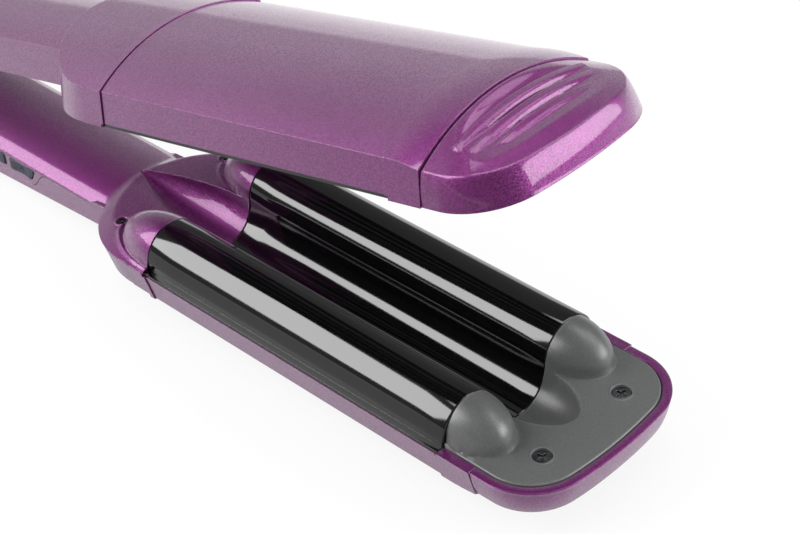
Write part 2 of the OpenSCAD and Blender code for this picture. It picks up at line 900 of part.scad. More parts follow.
module on_each_side(near_w) {
    along_y(-near_w, 0)
        children(0);
    along_y(0, near_w)
        children(1);
}

// Side view of the lower handle: lugs round the hinge, and a rounded nose behind it
module lower_side() {
    circle(lug_r);
    polygon(concat(
        [[-nose_x, nose_top]],
        arc([-nose_x + nose_r, rest_h - nose_r], nose_r, 180, 90, 12),
        [[seam_x + 5, rest_h], [seam_x + 5, nose_top]]
    ));
}

module lower_shell() {
    color(purple)
        on_lower()
            difference() {
                union() {
                    intersection() {
                        union() {
                            intersection() {
                                handle_form(
                                    rest_h, lower_depth, 0, -lug_r - 1,
                                    tail_x, shoulder_x + 12
                                );
                                along_y(-head_hw, head_hw)
                                    lower_side();
                            }
                            shoulder_form();
                            seam_bead();
                        }
                        difference() {
                            on_each_side(head_hw + 5) {
                                shell_zone(true);
                                shell_zone(false);
                            }
                            handle_form(
                                rest_h, lower_depth, handle_wall, nose_top,
                                cover_x - 4, shoulder_x + 14
                            );
                            shoulder_form(handle_wall, handle_wall, 0, seam_x + 1);
                        }
                    }
                    crown_lip(seam_x - 3, seam_x + 4);
                    shell_bosses(rear_screw_x, rear_screw_y, shoulder_part_z);
                    // Rib that carries the spring's lower leg
                    translate([spring_leg - 2.2, -3, spring_r + spring_wire_r + 0.05])
                        cube([2, 6, crown_h - spring_r - spring_wire_r - 1.5]);
                    // Posts under the circuit board
                    for (x = [board_x + 6, board_x + board_l - 6])
                        translate([x, 0, board_z + board_t + 0.05])
                            cylinder(h = crown_h - board_z - board_t - 1, r = 3);
                }
                // Room for the upper arm's tongue and the spring's leg
                along_y(-tongue_hw - lug_gap, tongue_hw + lug_gap)
                    union() {
                        circle(tongue_r + 0.5);
                        translate([-lug_r - 2, -lug_r - 2])
                            square([lug_r * 2 + 4, lug_r + 2 + nose_top]);
                        square([cover_x - 3, spring_r + spring_wire_r + 0.4]);
                    }
                plate_notch();
                hinge_bore();
                for (s = [-1, 1])
                    translate([0, s * (handle_hw - cap_seat), 0])
                        rotate([s * -90, 0, 0])
                            cylinder(h = 5, r = cap_r + 0.1);
                // Bore for the cord gland, its flange's room and the way on for the wires
                translate([-nose_x - 1, 0, gland_z])
                    rotate([0, 90, 0])
                        cylinder(h = nose_x - 9, r = gland_r + gland_clear);
                translate([flange_x - 0.3, 0, gland_z])
                    rotate([0, 90, 0])
                        cylinder(h = 4, r = flange_r + 0.3);
                translate([flange_x, -4, gland_z - 2])
                    cube([cover_x - 3.5 - flange_x, 8, 6.5]);
            }
}

// Room in a shell's rim for the heated plate's rear edge
module plate_notch() {
    translate([plate_start - 0.1, -head_hw - 1, rim_z - 1])
        cube([2, 2 * head_hw + 2, 1.05 + flange_h]);
    along_x(plate_start - 0.1, seam_x + 1)
        leaning_walls(head_hw - side_wall, rim_z, draft, 0, crown_h / 2);
}

// Raised bead on the shoulder beside the seam
module seam_bead() {
    along_x(seam_x - bead_w, seam_x)
        head_section(inset = -bead_h, roof = -bead_h);
}

// Bosses that the rear screws turn into
module shell_bosses(screw_x, screw_y, part_rear) {
    z = part_rear + 1.8;
    hole_top = face_gap + counterbore + screw_len + 0.3;
    intersection() {
        shoulder_form(inset = 1, roof = 1, from = 0);
        for (s = [-1, 1])
            translate([plate_start - screw_x, s * screw_y, z])
                difference() {
                    cylinder(h = crown_h, r = 3);
                    translate([0, 0, -1])
                        cylinder(h = hole_top - z + 1, r = screw_r + screw_clear / 2);
                }
    }
}

module hinge_bore() {
    rotate([90, 0, 0])
        cylinder(h = 3 * handle_hw, r = pin_r + pin_clear, center = true);
}

// Section of the lower handle's inner cover, inset from its outer face
module arch_section(inset) {
    arch_hw = handle_hw - bevel_w;
    arch_r = (arch_hw * arch_hw + arch_fall * arch_fall) / (2 * arch_fall);
    arch_z = face_gap + arch_fall;
    intersection() {
        translate([0, face_gap + cover_sink + arch_r])
            circle(arch_r - inset);
        polygon([
            [-handle_hw, crown_h], [handle_hw, crown_h],
            [handle_hw, arch_z + bevel_fall + inset * 0.8], [arch_hw - inset * 0.4, arch_z + inset],
            [arch_hw - inset * 0.4, -1], [-arch_hw + inset * 0.4, -1],
            [-arch_hw + inset * 0.4, arch_z + inset], [-handle_hw, arch_z + bevel_fall + inset * 0.8]
        ]);
    }
}

module lower_inner_cover() {
    color(purple)
        on_lower() {
            // Posts between the buttons that the switch board is fixed to
            for (i = [1:2])
                translate([button_mid(i) + button_pitch / 2, switch_y + switch_h, button_z])
                    rotate([90, 0, 0])
                        cylinder(h = switch_y + switch_h - skin_y - handle_wall / 2, r = 0.7);
            shoulder_face(
                [-wave_pitch, wave_pitch], [0], rear_scoop_len,
                shoulder_part_z, rear_screw_x, rear_screw_y
            );
            difference() {
                intersection() {
                    along_x(cover_x, shoulder_x + cover_overlap)
                        arch_section(0);
                    handle_form(rest_h, lower_depth, 0, -1, cover_x, shoulder_x + cover_overlap);
                    on_each_side(handle_hw + 5) {
                        cover_zone(true);
                        cover_zone(false);
                    }
                }
                intersection() {
                    along_x(cover_x + handle_wall, shoulder_x - handle_wall)
                        arch_section(handle_wall);
                    handle_form(rest_h, lower_depth, handle_wall, -1, cover_x, shoulder_x + 1);
                }
                for (i = [0:2])
                    button_window(i);
                translate([lens_x, 0, button_z])
                    rotate([90, 0, 0])
                        cylinder(h = 2 * handle_hw, r = lens_r + 0.02);
            }
        }
}

// Side view of the upper handle, rounded about the hinge
module upper_side() {
    circle(upper_depth);
    square([seam_x + 5, crown_h + 5]);
}

module upper_shell() {
    color(purple)
        on_upper()
            difference() {
                union() {
                    difference() {
                        union() {
                            intersection() {
                                handle_form(
                                    upper_depth, upper_depth, 0, upper_handle_rim,
                                    -upper_depth - 1, shoulder_x + 12
                                );
                                along_y(-head_hw, head_hw)
                                    upper_side();
                            }
                            shoulder_form();
                            seam_bead();
                        }
                        handle_form(
                            upper_depth, upper_depth, handle_wall, -1,
                            lug_r + 2, shoulder_x + 14
                        );
                        shoulder_form(handle_wall, handle_wall, 0, seam_x + 1);
                        // Room for the lower handle's lugs
                        for (s = [-1, 1])
                            along_y(s > 0 ? tongue_hw : -head_hw, s > 0 ? head_hw : -tongue_hw)
                                union() {
                                    circle(lug_r + 0.5);
                                    translate([-crown_h, 0])
                                        square([crown_h, crown_h]);
                                }
                    }
                    crown_lip(seam_x - 3, seam_x + 4);
                    shell_bosses(upper_screw_x, upper_screw_y, rim_z);
                    rotate([90, 0, 0])
                        cylinder(h = 2 * tongue_hw, r = tongue_r, center = true);
                }
                hinge_bore();
                plate_notch();
                // The shoulder's inner face lies on the shell's rim
                translate([0, 0, -1])
                    linear_extrude(rim_z + 1)
                        shoulder_outline(0.2, seam_x + 1, 0.2);
                // Slot for the spring and its legs
                along_y(-spring_slot, spring_slot)
                    union() {
                        circle(spring_r + spring_wire_r + 0.6);
                        translate([0, -tongue_r - 1])
                            square([lug_r + 3, tongue_r + spring_r + spring_wire_r + 1.6]);
                    }
            }
}

module upper_inner_cover() {
    hw = handle_hw - handle_wall - cover_gap;
    arch_r = (hw * hw + upper_arch_fall * upper_arch_fall) / (2 * upper_arch_fall);
    color(purple)
        on_upper() {
            shoulder_face(
                [0], [-wave_pitch, wave_pitch], side_scoop_len,
                rim_z, upper_screw_x, upper_screw_y
            );
            along_x(lug_r + 3, shoulder_x + cover_overlap)
                difference() {
                    intersection() {
                        translate([0, face_gap + cover_sink + arch_r])
                            circle(arch_r);
                        leaning_walls(hw, upper_handle_rim, handle_draft, 0, 6);
                    }
                    translate([0, face_gap + cover_sink + arch_r])
                        circle(arch_r - handle_wall);
                }
        }
}

// Outline of a button in side view. The first one's front end leans with the skirt's end
module button_outline(i, grow) {
    front = plate_start - button_front - i * button_pitch + grow;
    rear = front - button_l - 2 * grow;
    top = button_z - button_h / 2 - grow;
    bottom = button_z + button_h / 2 + grow;
    lean = i == 0 ? button_h * 0.6 : 0;
    polygon([[rear, top], [front, top], [front - lean, bottom], [rear, bottom]]);
}

function button_mid(i) = plate_start - button_front - i * button_pitch - button_l / 2;

module button_window(i) {
    along_y(-handle_hw - 2, -handle_hw + 5)
        button_outline(i, button_gap);
}

module button(i) {
    difference() {
        union() {
            along_y(skin_y - button_proud, button_back_y + 0.4)
                button_outline(i, 0);
            along_y(button_back_y, button_back_y + button_flange_t)
                button_outline(i, button_lip);
        }
        // Shallow dish for the finger
        translate([button_mid(i), skin_y - button_proud - dish_r + dish_depth, button_z])
            cylinder(h = button_h + 2, r = dish_r, center = true);
    }
}

module power_button() {
    color(plate_grey)
        on_lower()
            button(0);
}

module minus_button() {
    color(plate_grey)
        on_lower()
            button(1);
}

module plus_button() {
    color(plate_grey)
        on_lower()
            button(2);
}

module indicator_lens() {
    color([0.85, 0.85, 0.9])
        on_lower()
            translate([lens_x, 0, button_z])
                rotate([90, 0, 0])
                    translate([0, 0, -skin_y - handle_wall - 1.5]) {
                        cylinder(h = handle_wall + 1.6, r = lens_r);
                        cylinder(h = 1.3, r = lens_r + 0.8);
                    }
}

// Upright board behind the buttons, with one switch for each
module switch_board() {
    color([0.1, 0.35, 0.2])
        on_lower() {
            translate([switch_board_x, switch_y + switch_h, button_z - switch_board_w / 2])
                cube([switch_board_l, switch_board_t, switch_board_w]);
            for (i = [0:2])
                translate([button_mid(i), switch_y, button_z]) {
                    rotate([-90, 0, 0])
                        cylinder(h = 1, r = 1.2);
                    translate([-2.5, 0.6, -2])
                        cube([5, 1.2, 4]);
                }
        }
}

module circuit_board() {
    color([0.1, 0.35, 0.2])
        on_lower() {
            translate([board_x, -board_w / 2, board_z])
                cube([board_l, board_w, board_t]);
            translate([board_x + 4, -6, board_z - 5])
                cube([13, 11, 5.1]);
            translate([board_x + 24, 2, board_z - 4])
                cube([8, 6, 4.1]);
            for (x = [38, 47])
                translate([board_x + x, 3, board_z - 4.5])
                    cylinder(h = 4.6, r = 2.5);
            translate([board_x + 22, -7, board_z - 1.6])
                cube([9, 7, 1.7]);
        }
}

module lower_head_panel() {
    color(purple)
        on_lower()
            head_panel([-wave_pitch, wave_pitch], 5);
}

module upper_head_panel() {
    color(purple)
        on_upper()
            head_panel([0], 7);
}

module lower_end_cap() {
    color(purple)
        on_lower()
            end_cap([0]);
}

module upper_end_cap() {
    color(purple)
        on_upper()
            end_cap([-wave_pitch, wave_pitch]);
}

module lower_wave_plate() {
    color(gloss_black)
        on_lower()
            wave_plate([-wave_pitch, wave_pitch], [0]);
}

module upper_wave_plate() {
    color(gloss_black)
        on_upper()
            wave_plate([0], [-wave_pitch, wave_pitch]);
}

module lower_front_plate() {
    color(plate_grey)
        on_lower()
            front_plate([-wave_pitch, wave_pitch], [0]);
}

module upper_front_plate() {
    color(plate_grey)
        on_upper()
            front_plate([0], [-wave_pitch, wave_pitch]);
}

module lower_front_screws() {
    color(steel)
        on_lower()
            front_screws();
}

module upper_front_screws() {
    color(steel)
        on_upper()
            front_screws();
}

module lower_rear_screws() {
    color(steel)
        on_lower()
            rear_screws(rear_screw_x, rear_screw_y);
}

module upper_rear_screws() {
    color(steel)
        on_upper()
            rear_screws(upper_screw_x, upper_screw_y);
}

module lower_heater_blocks() {
    color("silver")
        on_lower()
            for (s = [-1, 1])
                heater_block(s * wave_pitch);
}

module upper_heater_block() {
    color("silver")
        on_upper()
            heater_block(0);
}

module lower_heater_elements() {
    color("goldenrod")
        on_lower()
            for (s = [-1, 1])
                heater_element(s * wave_pitch);
}

module upper_heater_element() {
    color("goldenrod")
        on_upper()
            heater_element(0);
}

module lower_heater_clamps() {
    color(steel)
        on_lower()
            for (s = [-1, 1])
                heater_clamp(s * wave_pitch);
}

module upper_heater_clamp() {
    color(steel)
        on_upper()
            heater_clamp(0);
}

// Temperature sensor on the back of the middle trough
module thermistor() {
    color("white")
        on_lower()
            translate([plate_start + plate_len * 0.45, 0, face_gap + trough_r + plate_wall + sensor_r + 0.05])
                rotate([0, 90, 0])
                    cylinder(h = 9, r = sensor_r);
}

module thermal_fuse() {
    color("white")
        on_lower()
            translate([plate_start + plate_len * 0.65, 0, face_gap + trough_r + plate_wall + sensor_r + 0.05])
                rotate([0, 90, 0]) {
                    cylinder(h = 12, r = sensor_r);
                    translate([0, 0, -5])
                        cylinder(h = 22, r = 0.5);
                }
}

// Swivelling gland that the cord enters through
module cord_gland() {
    color(plate_grey)
        on_lower()
            translate([0, 0, gland_z])
                rotate([0, 90, 0])
                    difference() {
                        union() {
                            translate([0, 0, -nose_x - 0.2])
                                cylinder(h = nose_x + flange_x + 0.4, r = gland_r);
                            translate([0, 0, flange_x])
                                cylinder(h = flange_t, r = flange_r);
                            translate([0, 0, tail_x])
                                cylinder(h = gland_out - 0.2, r1 = gland_r - 0.4, r2 = gland_r + 1);
                        }
                        translate([0, 0, tail_x - 1])
                            cylinder(h = 2 * nose_x, r = cord_bore_r);
                    }
}

module hinge_pin() {
    color(steel)
        on_lower()
            rotate([90, 0, 0])
                cylinder(h = 2 * (handle_hw - cap_seat) - 0.1, r = pin_r, center = true);
}

module hinge_cap(s) {
    color(purple)
        on_lower()
            translate([0, s * (handle_hw - cap_seat + 0.05), 0])
                rotate([s * -90, 0, 0]) {
                    cylinder(h = cap_t - 0.5, r = cap_r);
                    translate([0, 0, cap_t - 0.5])
                        cylinder(h = 0.5, r1 = cap_r, r2 = cap_r - 0.5);
                }
}

module near_hinge_cap() {
    hinge_cap(-1);
}

module far_hinge_cap() {
    hinge_cap(1);
}

// Coil with two straight legs, swept as one wire of eight sides
module torsion_spring() {
    pitch = 2 * spring_wire_r + 0.15;
    steps = 16 * spring_turns + 8;
    length = pitch * steps / 16;
    coil = [for (i = [0:steps])
        let (a = -90 + 360 * i / 16)
            [spring_r * cos(a), pitch * i / 16 - length / 2, spring_r * sin(a)]];
    color(steel)
        on_lower()
            mirror([0, 0, 1])
                wire(
                    concat(
                        [[spring_leg, -length / 2, -spring_r]],
                        coil,
                        [[spring_leg, length / 2, spring_r]]
                    ),
                    spring_wire_r,
                    8
                );
}

// Round wire along a path that stays near planes across Y
module wire(path, r, sides) {
    n = len(path);
    rings = [for (i = [0:n - 1])
        let (
            ahead = path[min(n - 1, i + 1)] - path[max(0, i - 1)],
            along = ahead / norm(ahead),
            out = cross(along, [0, 1, 0]) / norm(cross(along, [0, 1, 0])),
            up = cross(out, along)
        )
            for (k = [0:sides - 1])
                path[i] + r * cos(360 * k / sides) * out + r * sin(360 * k / sides) * up];
    walls = [for (i = [0:n - 2], k = [0:sides - 1])
        let (a = i * sides + k, b = i * sides + (k + 1) % sides)
            [a, b, b + sides, a + sides]];
    polyhedron(rings, concat(
        walls,
        [[for (k = [sides - 1:-1:0]) k]],
        [[for (k = [0:sides - 1]) (n - 1) * sides + k]]
    ));
}

// Arm frames to the part's frame
module on_lower() {
    translate([-mid_x, 0, rest_h])
        mirror([0, 0, 1])
            children();
}

module on_upper() {
    translate([-mid_x, 0, rest_h])
        rotate([0, -opening, 0])
            children();
}

lower_shell();
lower_inner_cover();
lower_head_panel();
lower_end_cap();
lower_wave_plate();
lower_front_plate();
lower_front_screws();
lower_rear_screws();
lower_heater_blocks();
lower_heater_elements();
lower_heater_clamps();
thermistor();
thermal_fuse();
circuit_board();
switch_board();
power_button();
minus_button();
plus_button();
indicator_lens();
cord_gland();
hinge_pin();
near_hinge_cap();
far_hinge_cap();
torsion_spring();
upper_shell();
upper_inner_cover();
upper_head_panel();
upper_end_cap();
upper_wave_plate();
upper_front_plate();
upper_front_screws();
upper_rear_screws();
upper_heater_block();
upper_heater_element();
upper_heater_clamp();
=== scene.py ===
# Deep waver for hair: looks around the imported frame. Lengths are written in millimetres and scaled by MM.
import json
import math

import bmesh
import bpy
import numpy as np
from mathutils import Matrix, Vector
from mathutils.geometry import delaunay_2d_cdt


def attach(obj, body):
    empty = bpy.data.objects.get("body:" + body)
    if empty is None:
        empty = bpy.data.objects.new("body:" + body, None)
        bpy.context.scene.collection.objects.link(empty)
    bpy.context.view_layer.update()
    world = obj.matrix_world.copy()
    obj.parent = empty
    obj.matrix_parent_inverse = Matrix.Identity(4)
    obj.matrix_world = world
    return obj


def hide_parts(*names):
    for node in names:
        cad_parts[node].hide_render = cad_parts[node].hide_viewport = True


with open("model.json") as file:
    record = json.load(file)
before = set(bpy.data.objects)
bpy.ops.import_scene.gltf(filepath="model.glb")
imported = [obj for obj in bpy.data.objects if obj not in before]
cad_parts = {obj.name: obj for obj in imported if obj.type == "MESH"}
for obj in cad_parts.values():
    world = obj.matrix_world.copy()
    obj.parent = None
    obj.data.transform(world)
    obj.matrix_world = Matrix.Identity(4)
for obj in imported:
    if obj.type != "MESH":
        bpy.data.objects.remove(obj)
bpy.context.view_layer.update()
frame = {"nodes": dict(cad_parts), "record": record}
NODES = frame["nodes"]
MM = 0.001


# ---------------------------------------------------------------- materials
def srgb(r, g, b):
    return tuple((c / 255 / 12.92) if c <= 10 else ((c / 255 + 0.055) / 1.055) ** 2.4 for c in (r, g, b)) + (1.0,)


class Mat:
    """A Principled material with short ways to add procedural nodes."""

    def __init__(self, name, **sockets):
        self.mat = bpy.data.materials.new(name)
        self.mat.use_nodes = True
        self.nt = self.mat.node_tree
        self.bsdf = self.nt.nodes["Principled BSDF"]
        for key, value in sockets.items():
            self.bsdf.inputs[key.replace("_", " ")].default_value = value
        self.coord = self.node("ShaderNodeTexCoord").outputs["Object"]

    def node(self, kind, inputs=None, **attrs):
        n = self.nt.nodes.new(kind)
        for key, value in attrs.items():
            setattr(n, key, value)
        for key, value in (inputs or {}).items():
            if isinstance(value, bpy.types.NodeSocket):
                self.nt.links.new(value, n.inputs[key])
            else:
                n.inputs[key].default_value = value
        return n

    def noise(self, scale, detail=2.0, stretch=None, rough=0.5):
        vec = self.coord
        if stretch:
            vec = self.node("ShaderNodeMapping", {"Vector": vec, "Scale": stretch}).outputs[0]
        inputs = {"Vector": vec, "Scale": scale, "Detail": detail, "Roughness": rough}
        return self.node("ShaderNodeTexNoise", inputs).outputs["Fac"]

    def cells(self, scale):
        return self.node("ShaderNodeTexVoronoi", {"Vector": self.coord, "Scale": scale}).outputs["Color"]

    def remap(self, value, lo, hi, a=0.0, b=1.0):
        """Turns the range a to b into lo to hi, and clips outside it."""
        inputs = {"Value": value, "From Min": a, "From Max": b, "To Min": lo, "To Max": hi}
        return self.node("ShaderNodeMapRange", inputs).outputs[0]

    def mix(self, fac, a, b):
        n = self.node("ShaderNodeMix", data_type="RGBA")
        for socket, value in ((n.inputs[0], fac), (n.inputs[6], a), (n.inputs[7], b)):
            if isinstance(value, bpy.types.NodeSocket):
                self.nt.links.new(value, socket)
            else:
                socket.default_value = value
        return n.outputs[2]

    def math(self, op, a, b=0.0):
        return self.node("ShaderNodeMath", {0: a, 1: b}, operation=op).outputs[0]

    def bump(self, height, strength, distance, normal=None):
        inputs = {"Height": height, "Strength": strength, "Distance": distance}
        if normal is not None:
            inputs["Normal"] = normal
        return self.node("ShaderNodeBump", inputs).outputs[0]

    def edge(self, radius):
        """Normals that round a sharp edge by radius, in millimetres."""
        return self.node("ShaderNodeBevel", {"Radius": radius * MM}, samples=4).outputs[0]

    def painted_edge_highlight(self):
        """Which points lie on a sharp outer edge, 0 to 1, where a painted highlight goes."""
        point = self.node("ShaderNodeNewGeometry").outputs["Pointiness"]
        return self.remap(point, 0.0, 1.0, 0.52, 0.62)

    def set(self, key, value):
        self.nt.links.new(value, self.bsdf.inputs[key])


def purple_gloss():
    m = Mat("purple_gloss", Metallic=0.62, Coat_Weight=0.85, Coat_Roughness=0.07, Coat_IOR=1.5)
    flakes = m.cells(3800)
    grey = m.node("ShaderNodeRGBToBW", {0: flakes}).outputs[0]
    cloud = m.noise(9, 3)
    deep = m.mix(m.remap(grey, 0, 1, 0.2, 0.8), srgb(98, 30, 91), srgb(138, 52, 129))
    painted_sheen = m.mix(m.remap(grey, 0, 1, 0.2, 0.8), srgb(168, 140, 165), srgb(200, 172, 197))
    # Painted sheen: the base colour is deep where the paint is seen square on, and pale and greyer where it is seen
    # aslant, in place of the lamps' reflected haze
    aslant = m.node("ShaderNodeLayerWeight", {"Blend": 0.5}).outputs["Facing"]
    base = m.mix(m.remap(aslant, 0, 0.72, 0.31, 0.62), deep, painted_sheen)
    m.set("Base Color", m.mix(m.remap(cloud, 0.0, 0.25), base, srgb(112, 44, 108)))
    m.set("Roughness", m.remap(m.noise(60, 4), 0.36, 0.46))
    # Each flake leans its own way
    lean = m.node("ShaderNodeVectorMath", {0: flakes, 1: (-0.5, -0.5, -0.5)}, operation="ADD").outputs[0]
    small = m.node("ShaderNodeVectorMath", {0: lean, "Scale": 0.16}, operation="SCALE").outputs[0]
    smooth = m.edge(0.35)
    tilted = m.node("ShaderNodeVectorMath", {0: smooth, 1: small}, operation="ADD").outputs[0]
    m.set("Normal", m.node("ShaderNodeVectorMath", {0: tilted}, operation="NORMALIZE").outputs[0])
    m.set("Coat Normal", m.bump(m.noise(160, 2), 0.02, 0.0004, smooth))
    return m.mat


def plate_black():
    m = Mat("plate_black", IOR=1.78)
    m.set("Base Color", m.mix(m.noise(300, 4), srgb(5, 5, 6), srgb(12, 12, 13)))
    m.set("Roughness", m.remap(m.noise(220, 5, (0.12, 1, 1)), 0.05, 0.13))
    m.set("Normal", m.bump(m.noise(1400, 3), 0.03, 0.00006, m.edge(0.3)))
    return m.mat


def grain_plastic(name, dark, light, rough, scale=2600, bump=0.12, **sockets):
    m = Mat(name, **sockets)
    fine = m.noise(scale, 5, rough=0.65)
    tone = m.mix(m.remap(fine, 0, 1, 0.3, 0.7), srgb(*dark), srgb(*light))
    # Sharp outer edges get a lighter tone: a painted highlight along the edges
    m.set("Base Color", m.mix(m.painted_edge_highlight(), tone, srgb(*[min(255, c + 26) for c in light])))
    m.set("Roughness", m.remap(m.noise(90, 4), rough - 0.06, rough + 0.06))
    m.set("Normal", m.bump(fine, bump, 0.00012, m.edge(0.25)))
    return m.mat


def metal(name, tone, rough, stretch=(1, 1, 1), metallic=1.0):
    m = Mat(name, Metallic=metallic)
    lines = m.noise(900, 6, stretch)
    m.set("Base Color", m.mix(lines, srgb(*[int(c * 0.82) for c in tone]), srgb(*tone)))
    m.set("Roughness", m.remap(lines, rough - 0.08, rough + 0.12))
    m.set("Normal", m.bump(lines, 0.08, 0.00005, m.edge(0.15)))
    return m.mat


def board_green():
    m = Mat("board_green")
    track = m.node("ShaderNodeTexBrick", {"Vector": m.coord, "Scale": 260.0, "Mortar Size": 0.015}).outputs["Fac"]
    m.set("Base Color", m.mix(track, srgb(22, 84, 48), srgb(14, 60, 36)))
    m.set("Roughness", m.remap(m.noise(400, 4), 0.3, 0.5))
    m.set("Normal", m.bump(track, 0.3, 0.00005))
    return m.mat


def clear_lens():
    m = Mat("lens_clear", Transmission_Weight=0.6, IOR=1.49)
    m.set("Base Color", m.mix(m.noise(500), srgb(214, 218, 228), srgb(232, 234, 240)))
    m.set("Roughness", m.remap(m.noise(700, 3), 0.06, 0.16))
    return m.mat


LOOKS = {
    "gloss_purple": purple_gloss(),
    "gloss_black_plate": plate_black(),
    "matte_grey": grain_plastic("grey_satin", (78, 79, 79), (101, 102, 102), 0.36, bump=0.2, IOR=1.7),
    "steel": metal("steel_screw", (120, 120, 124), 0.34),
    "aluminium": metal("aluminium_block", (196, 198, 202), 0.3, (0.05, 1, 1)),
    "amber_film": metal("amber_film", (176, 112, 40), 0.25, metallic=0.1),
    "sensor_white": grain_plastic("sensor_white", (214, 212, 204), (232, 230, 224), 0.3, bump=0.05),
    "board_green": board_green(),
    "button_grey": grain_plastic("button_grey", (44, 46, 60), (58, 60, 76), 0.42, 3200, 0.08),
    "lens": clear_lens(),
    "gland_black": grain_plastic("gland_black", (18, 18, 19), (28, 28, 29), 0.5),
}


SLOT_OF = {s["node"]: s["material_slot"] for s in frame["record"]["subparts"]}
for name, obj in NODES.items():
    obj.data.materials.clear()
    obj.data.materials.append(LOOKS[SLOT_OF[name]])


# ---------------------------------------------------------------- sizes, in millimetres, as in the part's source
OPENING = math.radians(13.8)
REST_H, MID_X = 20.25, 159.1
PLATE_START, PLATE_END = 188.8, 305.9
CAP_X, FALL_X, SEAM_X, SEAM_GAP = 317.3, 306.8, 189.6, 0.3
PITCH, BARREL_R, TROUGH_R, PLATE_WALL = 20.0, 9.8, 10.2, 1.2
FACE_GAP, RIM_Z, FLANGE_TOP = 0.5, 1.9, 2.9
HEAD_HW, FLANGE_HW = 32.3, 31.9
CROWN_H, CROWN_R, DRAFT, CREASE_Z = 19.8, 60.0, 0.25, 10.4
CORNER_R, CORNER_X, CORNER_Y, BULGE = 18.0, 322.8, 14.3, 0.9
FRONT_PLATE_R, FRONT_FACE_Z, FRONT_PLATE_T = 15.0, 1.5, 2.4
DOME_LEN, SCOOP_LEN = 14.0, 19.1
REST_START, REST_LEN, REST_HW, REST_DEPTH = 0.9, 18.0, 24.0, 2.1
SHOULDER_X, TURN_X, SHOULDER_R, SHOULDER_REAR_R, SHOULDER_PART_Z = 146.8, 179.8, 37.0, 32.0, 4.9
COVER_X, COVER_FRONT, REAR_DOME, REAR_SCOOP = 14.0, 188.65, 19.2, 38.5
HANDLE_HW, DRAFT_HANDLE, PARTING_Z, ARCH_FALL, BEVEL_W, BEVEL_FALL = 16.8, 0.05, 6.9, 2.9, 3.2, 2.7
BUTTON_FRONT, BUTTON_L, BUTTON_H, BUTTON_PITCH, BUTTON_Z, BUTTON_PROUD = 72.5, 12.6, 3.9, 15.5, 9.3, 0.5
DISH_R, DISH_DEPTH = 20.0, 0.4
SKIRT_Z, SKIRT_RUN, SKIRT_FRONT, SKIRT_REAR = 13.7, 8.5, 121.8, 57.8
SKIN_Y = -(HANDLE_HW - DRAFT_HANDLE * (BUTTON_Z - 1))
FAR = 60.0

# Screws: place of the far one, radius of its hole and of its head, then the head's depth below the face
FRONT_SCREW, FRONT_HOLE_R, FRONT_HEAD_R = (PLATE_END + 21.6, 15.8), 2.8, 2.7
REAR_SCREW, REAR_HOLE_R, REAR_HEAD_R = (166.2, 20.6), 1.8, 1.7
HEAD_DEPTH, SHANK_R, SHANK_LEN = 0.4, 1.25, 7.6

# The thumb rest's looks: shell, ridges across the rest, and how far the hollow leans to the rear
CAP_WALL, CAP_SOFT, REST_LEAN, REST_BLEND = 1.5, 0.9, 3.6, 0.08
RIDGE_X = [CAP_X + REST_START + REST_LEN * (i + 1.45) / 4.6 for i in range(3)]
RIDGE_HW, RIDGE_TOP, RIDGE_DROP, RIDGE_BLEND = (22.0, 22.0, 20.0), 1.25, 0.3, 0.06
RIDGE_FRONT_FALL, RIDGE_REAR_FALL = 1.15, 2.2
RIDGE_ROWS = (-2.2, -1.95, -1.7, -1.5, -1.35, -1.25, -0.9, -0.5, -0.1, 0)
RIDGE_ROWS += (0.12, 0.24, 0.36, 0.48, 0.6, 0.74, 0.9, 1.1, 1.35)
REAR_EDGE_FALL, REAR_EDGE_W = 0.3, 0.5

# The cover's looks: play to the shell, and the lips round its domes and holes: how far out, how wide, how high
COVER_PLAY, HANDLE_SEAM = 0.35, 0.3
LIP_RHO, LIP_W, LIP_RISE, LIP_FADE = 1.1, 0.045, 0.55, 0.9
BEAD_OUT, BEAD_W, BEAD_RISE = 0.35, 0.22, 0.25
DOME_RIM = (0.82, 0.88, 0.93, 0.965, 0.985, 0.997, 1.01, 1.03, 1.06)
LIP_RIM = (0.82, 0.88, 0.93, 0.965, 0.99, 1.005, 1.03, 1.055, 1.08, 1.1, 1.12, 1.145, 1.18, 1.22)
SKIRT_T, BUTTON_PLAY, LENS_HOLE_R = 1.8, 0.15, 1.22
MARK_R, MARK_HW, MARK_RISE = 0.85, 0.17, 0.16


def on_lower(p):
    return np.stack([p[:, 0] - MID_X, p[:, 1], REST_H - p[:, 2]], 1) * MM


def on_upper(p):
    c, s = math.cos(OPENING), math.sin(OPENING)
    return np.stack([p[:, 0] * c - p[:, 2] * s - MID_X, p[:, 1], p[:, 0] * s + p[:, 2] * c + REST_H], 1) * MM


ARMS = {"lower": on_lower, "upper": on_upper}


# ---------------------------------------------------------------- mesh helpers
class Shape:
    """Points and faces of one piece, in an arm's frame."""

    def __init__(self):
        self.points, self.faces, self.count = [], [], 0

    def add(self, points, faces):
        points = np.asarray(points, float).reshape(-1, 3)
        self.points.append(points)
        self.faces += [tuple(i + self.count for i in f) for f in faces]
        self.count += len(points)
        return range(self.count - len(points), self.count)

    def rings(self, rings):
        """Joins rings of equal length, and closes the first and the last one."""
        n = len(rings[0])
        last = (len(rings) - 1) * n
        faces = []
        for i in range(0, last, n):
            faces += [(i + k, i + (k + 1) % n, i + n + (k + 1) % n, i + n + k) for k in range(n)]
        faces += [tuple(range(n)), tuple(range(last, last + n))]
        self.add(np.concatenate(rings), faces)


